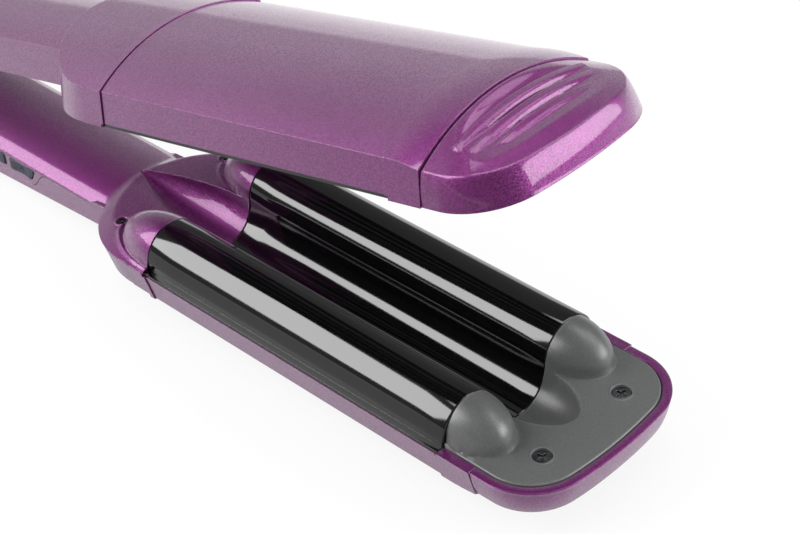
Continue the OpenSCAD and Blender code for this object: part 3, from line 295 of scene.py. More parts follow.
def put(name, shape, arm, body, slot, nodes, sharp=38.0):
    """Makes the piece, which rides on its body and stands for the CAD nodes. sharp is an angle in degrees."""
    mesh = bpy.data.meshes.new(name)
    mesh.from_pydata(ARMS[arm](np.concatenate(shape.points)).tolist(), [], shape.faces)
    bm = bmesh.new()
    bm.from_mesh(mesh)
    bmesh.ops.remove_doubles(bm, verts=bm.verts, dist=0.002 * MM)
    bmesh.ops.dissolve_degenerate(bm, edges=bm.edges, dist=0.0005 * MM)
    bmesh.ops.recalc_face_normals(bm, faces=bm.faces)
    for f in bm.faces:
        f.smooth = True
    bm.to_mesh(mesh)
    bm.free()
    mesh.set_sharp_from_angle(angle=math.radians(sharp))
    mesh.materials.append(LOOKS[slot])
    obj = bpy.data.objects.new(name, mesh)
    bpy.context.scene.collection.objects.link(obj)
    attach(obj, body)
    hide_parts(*nodes)


def smin(a, b, k):
    """The lesser of two heights, with a blend k wide where they meet."""
    h = np.clip(0.5 + 0.5 * (b - a) / k, 0, 1)
    return b * (1 - h) + a * h - k * h * (1 - h)


def smax(a, b, k):
    return -smin(-a, -b, k)


def arc(cx, cy, r, a0, a1, n):
    """n + 1 points from the angle a0 to a1, in degrees."""
    return [(cx + r * math.cos(a), cy + r * math.sin(a)) for a in np.radians(np.linspace(a0, a1, n + 1))]


def circle(cx, cy, r, n):
    return arc(cx, cy, r, 0, 360, n)[:-1]


def inside(loop, pts):
    hit = np.zeros(len(pts), bool)
    x, y = pts.T
    for (x0, y0), (x1, y1) in zip(loop, np.roll(loop, -1, 0)):
        if y0 != y1:
            hit ^= ((y0 > y) != (y1 > y)) & (x < (x1 - x0) * (y - y0) / (y1 - y0) + x0)
    return hit


def distance(loop, pts):
    best = np.full(len(pts), 1e9)
    for a, b in zip(loop, np.roll(loop, -1, 0)):
        d = b - a
        t = np.clip(((pts - a) @ d) / max(d @ d, 1e-12), 0, 1)
        best = np.minimum(best, np.hypot(*(pts - a - t[:, None] * d).T))
    return best


def spread(points, step):
    """The polyline's points with more between them, at most step apart."""
    out = []
    for a, b in zip(points[:-1], points[1:]):
        n = max(1, math.ceil(math.dist(a, b) / step))
        out += [(a[0] + (b[0] - a[0]) * i / n, a[1] + (b[1] - a[1]) * i / n) for i in range(n)]
    return out + [points[-1]]


def closed(points, step):
    """The closed loop's points with more between them."""
    points = [tuple(p) for p in points]
    return np.array(spread(points + points[:1], step)[:-1])


def outward(loop):
    """Outward normals of a loop that runs counter-clockwise."""
    ahead = np.roll(loop, -1, 0) - np.roll(loop, 1, 0)
    out = np.column_stack([ahead[:, 1], -ahead[:, 0]])
    return out / np.linalg.norm(out, axis=1)[:, None]


def relief(shape, outline, normals, height, step, profile,
           holes=(), extra=(), clear=None, turn=None, back=None, depth=0.0):
    """A face with the height given over an outline, its edge carried on by the profile and closed.

    profile lists (distance outward, level), where level is a height or gives one for each outline point.
    extra points replace the grid where clear says so. turn moves the points into the arm's frame. back gives
    the height of a second face behind the first, which the edge and the holes join. Without it they are
    closed flat, the holes at their depth."""
    row, edge_clear, hole_clear = 0.87 * step, 0.35 * step, 0.3 * step
    outline = np.asarray(outline, float)
    loops = [outline] + [np.asarray(loop, float) for loop in holes]
    lo, hi = outline.min(0), outline.max(0)
    rows, columns = np.arange(lo[1], hi[1], row), np.arange(lo[0], hi[0], step)
    grid = np.array([(x + (step / 2 if j % 2 else 0), y) for j, y in enumerate(rows) for x in columns])
    if clear is not None:
        grid = grid[~clear(grid[:, 0], grid[:, 1])]
    if len(extra):
        grid = np.concatenate([grid, np.asarray(extra, float)])
    good = inside(outline, grid) & (distance(outline, grid) > edge_clear)
    for h in loops[1:]:
        good &= ~inside(h, grid) & (distance(h, grid) > hole_clear)
    pts = np.concatenate(loops + [grid[good]])
    edges, start = [], 0
    for loop in loops:
        n = len(loop)
        edges += [(start + i, start + (i + 1) % n) for i in range(n)]
        start += n
    out = delaunay_2d_cdt([Vector(p) for p in pts], edges, [], 0, 1e-5)
    flat = np.array([tuple(p) for p in out[0]])
    tris = np.array([f for f in out[2]])
    middle = flat[tris].mean(1)
    ok = inside(outline, middle)
    for h in loops[1:]:
        ok &= ~inside(h, middle)
    z = height(flat[:, 0], flat[:, 1])
    top = np.column_stack([flat, z])
    where = {i: k for k, origins in enumerate(out[3]) for i in origins}
    move = turn or (lambda p: p)
    base = shape.add(move(top), [tuple(t) for t in tris[ok]])[0]
    under = None
    if back is not None:
        low = np.column_stack([flat, back(flat[:, 0], flat[:, 1], z)])
        under = shape.add(move(low), [tuple(t[::-1]) for t in tris[ok]])[0]

    def wall(loop_ids, rings):
        ids = [base + where[i] for i in loop_ids]
        n = len(ids)
        ends = [list(shape.add(move(ring), [])) for ring in rings]
        if under is not None:
            ends.append([under + where[i] for i in loop_ids])
        for new in ends:
            shape.faces += [(ids[k], ids[(k + 1) % n], new[(k + 1) % n], new[k]) for k in range(n)]
            ids = new
        if under is None:
            shape.faces.append(tuple(ids))

    edge_z = z[[where[i] for i in range(len(outline))]]
    back_z = back(*outline.T, edge_z) if back is not None else None
    still = ~np.any(normals, 1)
    rings = []
    for reach, level in profile:
        ring = outline + reach * np.asarray(normals)
        ring_z = np.zeros(len(outline)) + (level(outline) if callable(level) else level)
        if back is not None:
            # An edge without a normal is a wall's end, and stays between its two faces
            ring_z = np.where(still, np.clip(ring_z, np.minimum(edge_z, back_z), np.maximum(edge_z, back_z)), ring_z)
        rings.append(np.column_stack([ring, ring_z]))
    wall(range(len(outline)), rings)
    start = len(outline)
    for loop in holes:
        n = len(loop)
        hz = z[[where[start + i] for i in range(n)]]
        wall(range(start, start + n), [] if under is not None else [np.column_stack([loop, hz + depth])])
        start += n


def tip_loop(r, start, step):
    """A head's front outline in plan, counter-clockwise from its rear right corner, and its outward normals."""
    a = r + BULGE
    front_r = (a * a + CORNER_Y ** 2 - r * r) / (2 * (a - r))
    front_x = CORNER_X + a - front_r
    turn = math.degrees(math.atan2(CORNER_Y, CORNER_X - front_x))
    right = spread([(start, -CORNER_Y - r), (CORNER_X, -CORNER_Y - r)], step)
    n_corner = max(8, int(r * math.radians(90 - turn) / step))
    n_front = max(4, int(2 * front_r * math.radians(turn) / step))
    chain = right[:-1] + arc(CORNER_X, -CORNER_Y, r, -90, -turn, n_corner)[:-1]
    chain += arc(front_x, 0, front_r, -turn, turn, n_front)[:-1]
    chain += arc(CORNER_X, CORNER_Y, r, turn, 90, n_corner)[:-1] + [(x, -y) for x, y in right[::-1]]
    chain = np.array(chain)
    normals = outward(chain)
    normals[0], normals[-1] = (0, -1), (0, 1)
    rear = np.array(spread([(start, CORNER_Y + r), (start, -CORNER_Y - r)], step)[1:-1])
    return np.concatenate([chain, rear]), np.concatenate([normals, np.zeros_like(rear)])


# ---------------------------------------------------------------- end caps with their thumb rests
def crown_line(x):
    return CROWN_H - CROWN_R + np.sqrt(CROWN_R ** 2 - np.maximum(0, x - FALL_X) ** 2)


def cap_height(x, y):
    """The cap's crown with the hollow for a thumb and its three ridges."""
    lean = DRAFT * (CREASE_Z - RIM_Z)
    r = CORNER_R - lean
    w = CORNER_Y + np.where(x < CORNER_X, r, np.sqrt(np.maximum(0.3, r * r - (x - CORNER_X) ** 2)))
    sag = np.maximum(0.12, crown_line(x) - CREASE_Z)
    slice_r = (w * w + sag * sag) / (2 * sag)
    crown = CREASE_Z + sag - slice_r + np.sqrt(np.maximum(0, slice_r ** 2 - np.minimum(np.abs(y), w) ** 2))
    mid = CAP_X + REST_START + REST_LEN / 2
    top = float(crown_line(np.array(mid)))
    tilt = math.asin((mid - FALL_X) / CROWN_R)
    rest_sag, rest_w = top - CREASE_Z, HEAD_HW - lean
    crown_r = (rest_w ** 2 + rest_sag ** 2) / (2 * rest_sag)
    floor_r = 1 / (1 / crown_r - 2 * REST_DEPTH / REST_HW ** 2)
    groove_r = 1 / (8 * REST_DEPTH / REST_LEN ** 2 - 1 / CROWN_R)
    # The hollow's floor, found along the slope's normal
    z = crown.copy()
    rear_stretch = REST_LEN / (REST_LEN - 2 * REST_LEAN)
    front_stretch = REST_LEN / (REST_LEN + 2 * REST_LEAN)
    for _ in range(4):
        u = (x - mid) * math.cos(tilt) - (z - top) * math.sin(tilt) + REST_LEAN
        u = u * np.where(u < 0, rear_stretch, front_stretch)
        along = np.minimum(np.abs(u), groove_r * 0.99)
        ring = floor_r + groove_r - np.sqrt(np.maximum(0, groove_r ** 2 - along ** 2))
        n = -REST_DEPTH - floor_r + np.sqrt(np.maximum(0, ring ** 2 - y ** 2))
        z = top + (n - (x - mid) * math.sin(tilt)) / math.cos(tilt)
    surface = smin(crown, z, REST_BLEND)
    for ridge_x, hw in zip(RIDGE_X, RIDGE_HW):
        sag = REST_DEPTH - RIDGE_DROP + floor_r - math.sqrt(floor_r ** 2 - hw ** 2)
        ridge_r = (hw ** 2 + sag ** 2) / (2 * sag)
        # A flat top along the crown, a rounded front edge and a steeper rear one
        d = x - ridge_x
        crest = crown_line(x) - RIDGE_DROP - ridge_r + np.sqrt(np.maximum(1, ridge_r ** 2 - y ** 2))
        crest = crest - RIDGE_FRONT_FALL * np.maximum(0, d) ** 2
        crest = crest - RIDGE_REAR_FALL * np.maximum(0, -RIDGE_TOP - d) ** 2
        surface = smax(surface, np.where(np.abs(y) < hw + 1, crest, -FAR), RIDGE_BLEND)
    start = CAP_X + SEAM_GAP / 2
    return surface - REAR_EDGE_FALL * np.maximum(0, 1 - (x - start) / REAR_EDGE_W) ** 2


def end_cap(name, arm, body, node):
    """The cap as a shell: crown, rounded crease, leaning wall with a slight swell, rim, and a lip inside it."""
    lean = DRAFT * (CREASE_Z - RIM_Z)
    start = CAP_X + SEAM_GAP / 2
    outline, normals = tip_loop(CORNER_R - lean - CAP_SOFT, start, 0.8)

    def below(dz):
        return lambda o: cap_height(o[:, 0], o[:, 1]) - dz

    wall = [(0.35, below(0.1)), (0.62, below(0.3)), (0.82, below(0.62))]
    swell = [(CREASE_Z - 1.4, 0.05), (8.0, 0.16), (7.0, 0.2), (6.0, 0.22), (5.0, 0.2), (4.0, 0.13), (3.0, 0.05)]
    swell.append((RIM_Z + 0.45, 0.0))
    wall += [(CAP_SOFT + DRAFT * (CREASE_Z - z) + more, z) for z, more in swell]
    edge = CAP_SOFT + lean
    wall += [(edge - 0.02, RIM_Z + 0.2), (edge - 0.14, RIM_Z + 0.06), (edge - 0.35, RIM_Z), (edge - 2.45, RIM_Z)]
    wall += [(edge - 2.68, RIM_Z + 0.1), (edge - 2.7, RIM_Z + 0.4), (edge - 2.7, FRONT_FACE_Z + FRONT_PLATE_T)]

    # Close rows along the ridges and the rear edge
    ridge_end, row_step, rear_rows = 22, 0.7, (0.1, 0.2, 0.3, 0.4, 0.5, 0.6)

    def clear(x, y):
        return (np.abs(y) < ridge_end) & (x > RIDGE_X[0] - 2.4) & (x < RIDGE_X[2] + 2.3) | (x < start + rear_rows[-1])

    extra = [(x + g, y) for x in RIDGE_X for g in RIDGE_ROWS for y in np.arange(-21.8, 21.9, row_step)]
    extra += [(start + g, y) for g in rear_rows for y in np.arange(-HEAD_HW, HEAD_HW, row_step)]

    def back(x, y, z):
        return z - CAP_WALL

    shape = Shape()
    relief(shape, outline, normals, cap_height, 0.45, wall, extra=extra, clear=clear, back=back)
    put(name, shape, arm, body, "gloss_purple", [node], sharp=50)


# ---------------------------------------------------------------- heated plates
def wave_section(crests, shrink):
    """Section of a heated plate: its face from right to left, then its back. shrink takes it back from the face."""
    b, t = BARREL_R - shrink, TROUGH_R + shrink
    back_b, back_t = BARREL_R - PLATE_WALL, TROUGH_R + PLATE_WALL
    flange = FLANGE_HW - shrink
    side = [(-flange, FLANGE_TOP), (-flange, RIM_Z + shrink)]
    if crests == 2:
        side.append((-PITCH - b, RIM_Z + shrink))
        face = side + arc(-PITCH, FACE_GAP, b, -180, 0, 40)
        face += arc(0, FACE_GAP, t, 180, 0, 40)[1:-1] + arc(PITCH, FACE_GAP, b, -180, 0, 40)
        back = [(PITCH + BARREL_R - PLATE_WALL, FLANGE_TOP)] + arc(PITCH, FACE_GAP, back_b, 0, -180, 40)
        back += arc(0, FACE_GAP, back_t, 0, 180, 40)[1:-1] + arc(-PITCH, FACE_GAP, back_b, 0, -180, 40)
        back.append((-PITCH - BARREL_R + PLATE_WALL, FLANGE_TOP))
    else:
        start = 180 - math.degrees(math.asin((RIM_Z - FACE_GAP) / t))
        face = side + arc(-PITCH, FACE_GAP, t, start, 0, 40)
        face += arc(0, FACE_GAP, b, -180, 0, 44)[1:-1] + arc(PITCH, FACE_GAP, t, 180, 180 - start, 40)
        cut = math.degrees(math.asin((FLANGE_TOP - FACE_GAP) / back_t))
        back = arc(PITCH, FACE_GAP, back_t, cut, 180, 40)
        back += arc(0, FACE_GAP, back_b, 0, -180, 44)[1:-1] + arc(-PITCH, FACE_GAP, back_t, 0, 180 - cut, 40)
    return face + [(-y, z) for y, z in side[::-1]] + back


def wave_plate(name, arm, body, node, crests):
    # Distance from an end, and how far the rounded end's section is taken back there
    ends = [(0, 0.35), (0.08, 0.16), (0.22, 0.05), (0.45, 0)]
    rings = [(PLATE_START + x, shrink) for x, shrink in ends]
    rings += [(x, 0) for x in np.linspace(PLATE_START + 10, PLATE_END - 10, 11)]
    rings += [(PLATE_END - x, shrink) for x, shrink in ends[::-1]]
    shape = Shape()
    shape.rings([np.array([(x, y, z) for y, z in wave_section(crests, shrink)]) for x, shrink in rings])
    put(name, shape, arm, body, "gloss_black_plate", [node])


# ---------------------------------------------------------------- front plates with domes and scoops
def dome_rho(x, y, start, length, r, y0, ahead=1, outer=None):
    """Distance from a dome's or a scoop's middle, as a share of its outline's.

    ahead is 1 or -1, its way from start. outer is its radius on the side away from the arm's middle."""
    across = np.where(np.abs(y) > abs(y0) + 1e-6, outer or r, r) if y0 else r
    return np.sqrt((np.maximum(0, ahead * (x - start)) / length) ** 2 + ((y - y0) / across) ** 2)


def ellipse_rings(start, length, r, y0, shares, ahead=1):
    """Points on half ellipses round a dome or a scoop, at the shares of its outline."""
    turns = np.radians(np.arange(-88, 89, 3))
    return [(start + ahead * length * s * math.cos(a), y0 + r * s * math.sin(a)) for s in shares for a in turns]


def front_plate(name, arm, body, node, crests, troughs):
    start = PLATE_END + 0.1
    domes = [(y0, DOME_LEN, BARREL_R) for y0 in crests]
    scoops = [(y0, SCOOP_LEN, TROUGH_R) for y0 in troughs]
    places = [(FRONT_SCREW[0], s * FRONT_SCREW[1]) for s in (-1, 1)]

    def height(x, y):
        z = np.full(x.shape, FRONT_FACE_Z)
        for y0, length, r in scoops:
            rho = dome_rho(x, y, start, length, r, y0)
            z = np.where(rho < 1, smax(z, FACE_GAP + r * np.sqrt(np.maximum(0, 1 - rho ** 2)), 0.5), z)
        for y0, length, r in domes:
            # The dome stays 1 mm clear of the plate's side
            rho = dome_rho(x, y, start, length, r, y0, outer=r - 1.0)
            inner = FACE_GAP - r * np.sqrt(np.maximum(0, 1 - rho ** 2))
            dome = np.where(rho < 1, inner, FACE_GAP + (rho - 1) * r * 3.2)
            z = smin(z, dome, 0.3)
        for px, py in places:
            # A bead round the screw's hole
            bead_out, bead_w, bead_rise = 0.3, 0.2, 0.14
            z = z - bead_rise * np.exp(-((np.hypot(x - px, y - py) - FRONT_HOLE_R - bead_out) / bead_w) ** 2)
        return z

    def clear(x, y):
        near = np.abs(np.hypot(x - FRONT_SCREW[0], np.abs(y) - FRONT_SCREW[1]) - 3.1) < 0.5
        for y0, length, r in domes + scoops:
            rho = dome_rho(x, y, start, length, r, y0)
            near |= (rho > 0.8) & (rho < 1.08)
        return near

    def back(x, y, z):
        rear = FRONT_FACE_Z + FRONT_PLATE_T
        return np.where(z < FRONT_FACE_Z - 0.2, np.minimum(z + PLATE_WALL, rear), np.maximum(rear, z + PLATE_WALL))

    def below(dz):
        return lambda o: height(*o.T) + dz

    extra = [p for y0, length, r in domes + scoops for p in ellipse_rings(start, length, r, y0, DOME_RIM)]
    extra += [p for px, py in places for r in (2.92, 3.02, 3.1, 3.2, 3.35, 3.55) for p in circle(px, py, r, 44)]
    holes = [np.array(circle(px, py, FRONT_HOLE_R, 40)) for px, py in places]
    profile = [(0.2, below(0.03)), (0.4, below(0.16)), (0.5, below(0.4)), (0.5, FRONT_FACE_Z + 1.0)]
    outline, normals = tip_loop(FRONT_PLATE_R - 0.5, start, 0.8)
    shape = Shape()
    relief(shape, outline, normals, height, 0.7, profile, holes, extra, clear, back=back)
    put(name, shape, arm, body, "matte_grey", [node], sharp=35)


# ---------------------------------------------------------------- lower inner cover
def part_height(x):
    """Height of the shoulder's rim, which leans toward the head."""
    return SHOULDER_PART_Z - (SHOULDER_PART_Z - RIM_Z) * (x - SHOULDER_X) / (SEAM_X - SHOULDER_X)


def shoulder_edge(x, y):
    """How far inside the shoulder's outline a point lies."""
    side = SHOULDER_R - COVER_PLAY - np.hypot(np.minimum(0, x - TURN_X), np.abs(y) + SHOULDER_R - HEAD_HW)
    rear = SHOULDER_REAR_R - COVER_PLAY - np.hypot(np.minimum(0, x - SHOULDER_X - SHOULDER_REAR_R), y)
    return np.where(x < TURN_X, np.minimum(side, rear), HEAD_HW - COVER_PLAY - np.abs(y))


def point_r(d, length, r):
    """Radius of a pointed scoop at a distance from its wide end."""
    big = (length ** 2 + r ** 2) / (2 * r)
    return r - big + np.sqrt(big ** 2 - np.clip(d, 0, length) ** 2)


def cover_height(x, y):
    """The handle's arch and bevels, the shoulder's chamfer, the rear domes with their lips, and the scoop."""
    arch_hw = HANDLE_HW - BEVEL_W
    arch_r = (arch_hw ** 2 + ARCH_FALL ** 2) / (2 * ARCH_FALL)
    arch = FACE_GAP + 0.05 + arch_r - np.sqrt(arch_r ** 2 - np.minimum(np.abs(y), HANDLE_HW) ** 2)
    bevel = FACE_GAP + ARCH_FALL + (np.abs(y) - arch_hw) * BEVEL_FALL / BEVEL_W
    handle = smax(arch, bevel, 0.3) + 0.3 * np.maximum(0, x - SHOULDER_X - 5)
    edge = shoulder_edge(x, y)
    top = part_height(x) - COVER_PLAY
    chamfer_w = 5.15
    shoulder = FACE_GAP + smax((top - FACE_GAP) * (1 - edge / chamfer_w), 0 * x, 0.35) - 0.06
    shoulder = np.where(x > SHOULDER_X - 4, shoulder + 6 * np.maximum(0, -edge), FAR)
    z = smin(handle, shoulder, 1.6) + 0.16
    d = COVER_FRONT - x
    scoop_r = point_r(d, REAR_SCOOP, TROUGH_R)
    for y0 in (-PITCH, PITCH):
        rho = dome_rho(x, y, COVER_FRONT, REAR_DOME, BARREL_R, y0, -1)
        inner = FACE_GAP - BARREL_R * np.sqrt(np.maximum(0, 1 - rho ** 2))
        dome = np.where(rho < 1, inner, FACE_GAP + (rho - 1) * BARREL_R * 3)
        # The lip round the dome fades where it meets the scoop
        fade = np.clip((np.abs(y) - scoop_r) / LIP_FADE, 0, 1)
        z = z - LIP_RISE * np.exp(-((rho - LIP_RHO) / LIP_W) ** 2) * fade
        z = smin(z, dome, 0.25)
        hole = np.hypot(x - REAR_SCREW[0], y - math.copysign(REAR_SCREW[1], y0)) - REAR_HOLE_R
        z = z - BEAD_RISE * np.exp(-((hole - BEAD_OUT) / BEAD_W) ** 2)
    scoop = FACE_GAP + np.sqrt(np.maximum(0, scoop_r ** 2 - y ** 2))
    return np.where((np.abs(y) < scoop_r) & (d < REAR_SCOOP), smax(z, scoop, 0.5), z)


def cover_outline():
    """The cover's outline in plan, counter-clockwise from its rear right corner, and its outward normals."""
    turn_x = 151.8
    xs = list(np.arange(COVER_X, 146, 1.0)) + list(np.arange(146, turn_x, 0.6))
    xs += list(np.arange(turn_x, COVER_FRONT, 0.7)) + [COVER_FRONT]
    half = []
    for x in xs:
        if x < turn_x:
            half.append((x, HANDLE_HW - HANDLE_SEAM))
            continue
        side = math.sqrt((SHOULDER_R - COVER_PLAY) ** 2 - min(0, x - TURN_X) ** 2) - SHOULDER_R + HEAD_HW
        rear = math.sqrt((SHOULDER_REAR_R - COVER_PLAY) ** 2 - min(0, x - SHOULDER_X - SHOULDER_REAR_R) ** 2)
        half.append((x, min(side, rear) if x < TURN_X else HEAD_HW - COVER_PLAY))
    near = np.array([(x, -w) for x, w in half])
    ahead = np.gradient(near, axis=0)
    out = np.column_stack([ahead[:, 1], -ahead[:, 0]])
    out /= np.linalg.norm(out, axis=1)[:, None]
    front = np.array(spread([tuple(near[-1]), (near[-1][0], -near[-1][1])], 0.8)[1:-1])
    rear = np.array(spread([(near[0][0], -near[0][1]), tuple(near[0])], 1.5)[1:-1])
    flip = np.array([1, -1])
    loop = np.concatenate([near, front, near[::-1] * flip, rear])
    normals = np.concatenate([out, np.zeros_like(front), out[::-1] * flip, np.zeros_like(rear)])
    return loop, normals


def cover_face():
    handle_end = 145
    handle_rows = (13.2, 13.4, 13.55, 13.7, 13.9, 14.2, 15, 15.7, 16.15)
    scoop_rows = (-0.6, -0.35, -0.18, -0.06, 0.06, 0.25, 0.6)

    def clear(x, y):
        near = x < handle_end
        for y0 in (-PITCH, PITCH):
            rho = dome_rho(x, y, COVER_FRONT, REAR_DOME, BARREL_R, y0, -1)
            near = near | ((rho > 0.78) & (rho < 1.24))
        near |= np.abs(np.hypot(x - REAR_SCREW[0], np.abs(y) - REAR_SCREW[1]) - 2.2) < 0.6
        beside = np.abs(np.abs(y) - point_r(COVER_FRONT - x, REAR_SCOOP, TROUGH_R))
        return near | ((beside < 0.8) & (COVER_FRONT - x < REAR_SCOOP))

    extra = []
    for s in (-1, 1):
        for p in ellipse_rings(COVER_FRONT, REAR_DOME, BARREL_R, s * PITCH, LIP_RIM, -1):
            beside = abs(p[1]) - float(point_r(COVER_FRONT - p[0], REAR_SCOOP, TROUGH_R)) > 0.7
            if beside and math.dist((p[0], abs(p[1])), REAR_SCREW) > 2.9:
                extra.append(p)
        for r in (1.95, 2.05, 2.15, 2.3, 2.5, 2.8):
            extra += circle(REAR_SCREW[0], s * REAR_SCREW[1], r, 32)
    widths = list(np.arange(-12.8, 13, 0.8)) + [s * w for s in (-1, 1) for w in handle_rows]
    extra += [(x, y) for x in np.arange(COVER_X + 1, handle_end, 1.0) for y in widths]
    for d in np.arange(0.3, REAR_SCOOP, 0.6):
        r = float(point_r(d, REAR_SCOOP, TROUGH_R))
        extra += [(COVER_FRONT - d, s * (r + g)) for s in (-1, 1) for g in scoop_rows if r + g > 0.1]
    outline, normals = cover_outline()
    # The handle's part of the edge goes down to the parting line
    lowest = np.where(outline[:, 0] < 151, PARTING_Z - 0.15, 0)
    profile = [(0.01, lambda o: cover_height(*o.T) + 0.04), (0.02, lambda o: cover_height(*o.T) + 0.15)]
    profile.append((0.02, lambda o: np.maximum(lowest, cover_height(*o.T) + 0.24)))
    holes = [np.array(circle(REAR_SCREW[0], s * REAR_SCREW[1], REAR_HOLE_R, 32)) for s in (-1, 1)]

    def back(x, y, z):
        edge = np.where(x < 150, HANDLE_HW - HANDLE_SEAM - np.abs(y), shoulder_edge(x, y))
        return z + 0.3 + np.clip(0.5 * edge, 0, 1.1)

    shape = Shape()
    relief(shape, outline, normals, cover_height, 0.8, profile, holes, extra, clear, back=back)
    put("lower_cover_face", shape, "lower", "lower_arm", "gloss_purple", ["lower_inner_cover"], sharp=40)


# ---------------------------------------------------------------- the near side of the lower handle
def on_side(p):
    """Turns a relief drawn in side view, its height measured inward from the handle's skin."""
    return np.stack([p[:, 0], SKIN_Y + p[:, 2], p[:, 1]], 1)


def skin(x, z):
    """The skin leans with the handle's draft."""
    return DRAFT_HANDLE * (z - BUTTON_Z)


def soft_corners(points, r, n=5):
    """A counter-clockwise polygon with its corners rounded."""
    out = []
    points = np.asarray(points, float)
    for i, p in enumerate(points):
        a, b = points[i - 1] - p, points[(i + 1) % len(points)] - p
        a, b = a / np.linalg.norm(a), b / np.linalg.norm(b)
        half = math.acos(np.clip(a @ b, -1, 1)) / 2
        start, stop = p + a * r / math.tan(half), p + b * r / math.tan(half)
        centre = p + (a + b) / np.linalg.norm(a + b) * r / math.sin(half)
        t0, t1 = (math.atan2(*(q - centre)[::-1]) for q in (start, stop))
        t1 = t0 + (t1 - t0 + math.pi) % (2 * math.pi) - math.pi
        out += [centre + r * np.array([math.cos(t), math.sin(t)]) for t in np.linspace(t0, t1, n)]
    return np.array(out)


def button_points(i, grow):
    """Corners of a button's outline, made larger by grow. The first button's front end leans."""
    front = PLATE_START - BUTTON_FRONT - i * BUTTON_PITCH + grow
    rear = front - BUTTON_L - 2 * grow
    top, bottom = BUTTON_Z - BUTTON_H / 2 - grow, BUTTON_Z + BUTTON_H / 2 + grow
    lean = BUTTON_H * 0.6 if i == 0 else 0
    return [(rear, top), (front, top), (front - lean, bottom), (rear, bottom)]


def cover_skirt():
    """The cover's tab on the handle's side, with the buttons' and the lens's holes."""
    def curve(x, side):
        ts = [k / 8 if side > 0 else 1 - k / 8 for k in range(9)]
        low, drop = PARTING_Z - 0.1, SKIRT_Z - PARTING_Z
        return [(x + side * (SKIRT_RUN * t + 0.1), low + drop * (1 - math.cos(math.pi * t)) / 2) for t in ts]

    top = PARTING_Z - 0.72
    low = curve(SKIRT_REAR, 1) + curve(SKIRT_FRONT, -1)
    loop = closed([(SKIRT_REAR, top), (SKIRT_FRONT, top)] + low[::-1], 1.0)
    holes = [closed(soft_corners(button_points(i, BUTTON_PLAY), 0.4), 1.0) for i in range(3)]
    lens_x = PLATE_START - BUTTON_FRONT - 3 * BUTTON_PITCH - 1
    holes.append(np.array(circle(lens_x, BUTTON_Z, LENS_HOLE_R, 24)))
    profile = [(0.05, lambda o: skin(*o.T) + 0.03), (0.08, lambda o: skin(*o.T) + 0.12)]
    shape = Shape()
    relief(shape, loop, outward(loop), skin, 1.0, profile, holes, turn=on_side, back=lambda x, z, h: h + SKIRT_T)
    put("lower_cover_skirt", shape, "lower", "lower_arm", "gloss_purple", ["lower_inner_cover"], sharp=40)


def stroke(x, z, x0, z0, x1, z1, half_w):
    """1 on a stroke between two points, 0 away from it, with soft flanks."""
    dx, dz = x1 - x0, z1 - z0
    t = np.clip(((x - x0) * dx + (z - z0) * dz) / (dx * dx + dz * dz), 0, 1)
    return np.clip((half_w + 0.06 - np.hypot(x - x0 - t * dx, z - z0 - t * dz)) / 0.12, 0, 1)


def push_button(name, node, i, sign):
    """A dished button with a raised sign. It rides on the body that has its node's name."""
    mid = PLATE_START - BUTTON_FRONT - i * BUTTON_PITCH - BUTTON_L / 2 - (0.5 if i == 0 else 0)

    def height(x, z):
        dish = np.maximum(0, DISH_DEPTH - (x - mid) ** 2 / (2 * DISH_R))
        mark = np.zeros_like(x)
        if sign in "-+":
            mark = stroke(x, z, mid - MARK_R, BUTTON_Z, mid + MARK_R, BUTTON_Z, MARK_HW)
        if sign == "+":
            mark = np.maximum(mark, stroke(x, z, mid, BUTTON_Z - MARK_R, mid, BUTTON_Z + MARK_R, MARK_HW))
        if sign == "o":
            r, gap = np.hypot(x - mid, z - BUTTON_Z), (np.abs(x - mid) < 0.42) & (z < BUTTON_Z)
            ring = np.clip((0.21 - np.abs(r - MARK_R)) / 0.1, 0, 1)
            mark = np.maximum(np.where(gap, 0, ring), stroke(x, z, mid, BUTTON_Z - 1.15, mid, BUTTON_Z - 0.2, 0.15))
        return dish - BUTTON_PROUD - MARK_RISE * mark

    def below(dz):
        return lambda o: height(*o.T) + dz

    loop = closed(soft_corners(button_points(i, -0.25), 0.35), 0.4)
    fine = np.arange(-1.4, 1.41, 0.1)
    extra = [(mid + u, BUTTON_Z + v) for u in fine for v in fine]
    # The rounded edge, the side, and a flange behind the cover that holds the button
    collar_y, foot_y, flange = 2.15, 2.95, 0.85
    profile = [(0.1, below(0.02)), (0.2, below(0.1)), (0.25, below(0.25))]
    profile += [(0.25, collar_y), (flange, collar_y), (flange, foot_y)]

    def clear(x, z):
        return (np.abs(x - mid) < 1.5) & (np.abs(z - BUTTON_Z) < 1.5)

    shape = Shape()
    relief(shape, loop, outward(loop), height, 0.4, profile, extra=extra, clear=clear, turn=on_side)
    put(name, shape, "lower", node, "button_grey", [node], sharp=40)


# ---------------------------------------------------------------- screws
def screw(shape, cx, cy, top, r):
    """Screw with a rounded head and a cross recess, seen from the face."""
    arm_w, arm_l, edge = r * 0.13, r * 0.6, 0.25
    cross = []
    for q in range(4):
        c, s = math.cos(q * math.pi / 2), math.sin(q * math.pi / 2)
        for u, v in ((arm_w, arm_w), (arm_w, arm_l), (-arm_w, arm_l)):
            cross.append((cx + u * c - v * s, cy + u * s + v * c))
    rim = np.array(circle(cx, cy, r - edge, 32))
    out = (rim - (cx, cy)) / (r - edge)

    def height(x, y):
        return top + 0.12 * ((x - cx) ** 2 + (y - cy) ** 2) / r ** 2

    under, shank = top + 1.1, SHANK_R - r + edge
    profile = [(0.12, top + 0.15), (0.22, top + 0.26), (edge, top + 0.4), (edge, under)]
    profile += [(shank, under), (shank, under + SHANK_LEN)]
    relief(shape, rim, out, height, r * 0.28, profile, [np.array(cross)], depth=0.8)


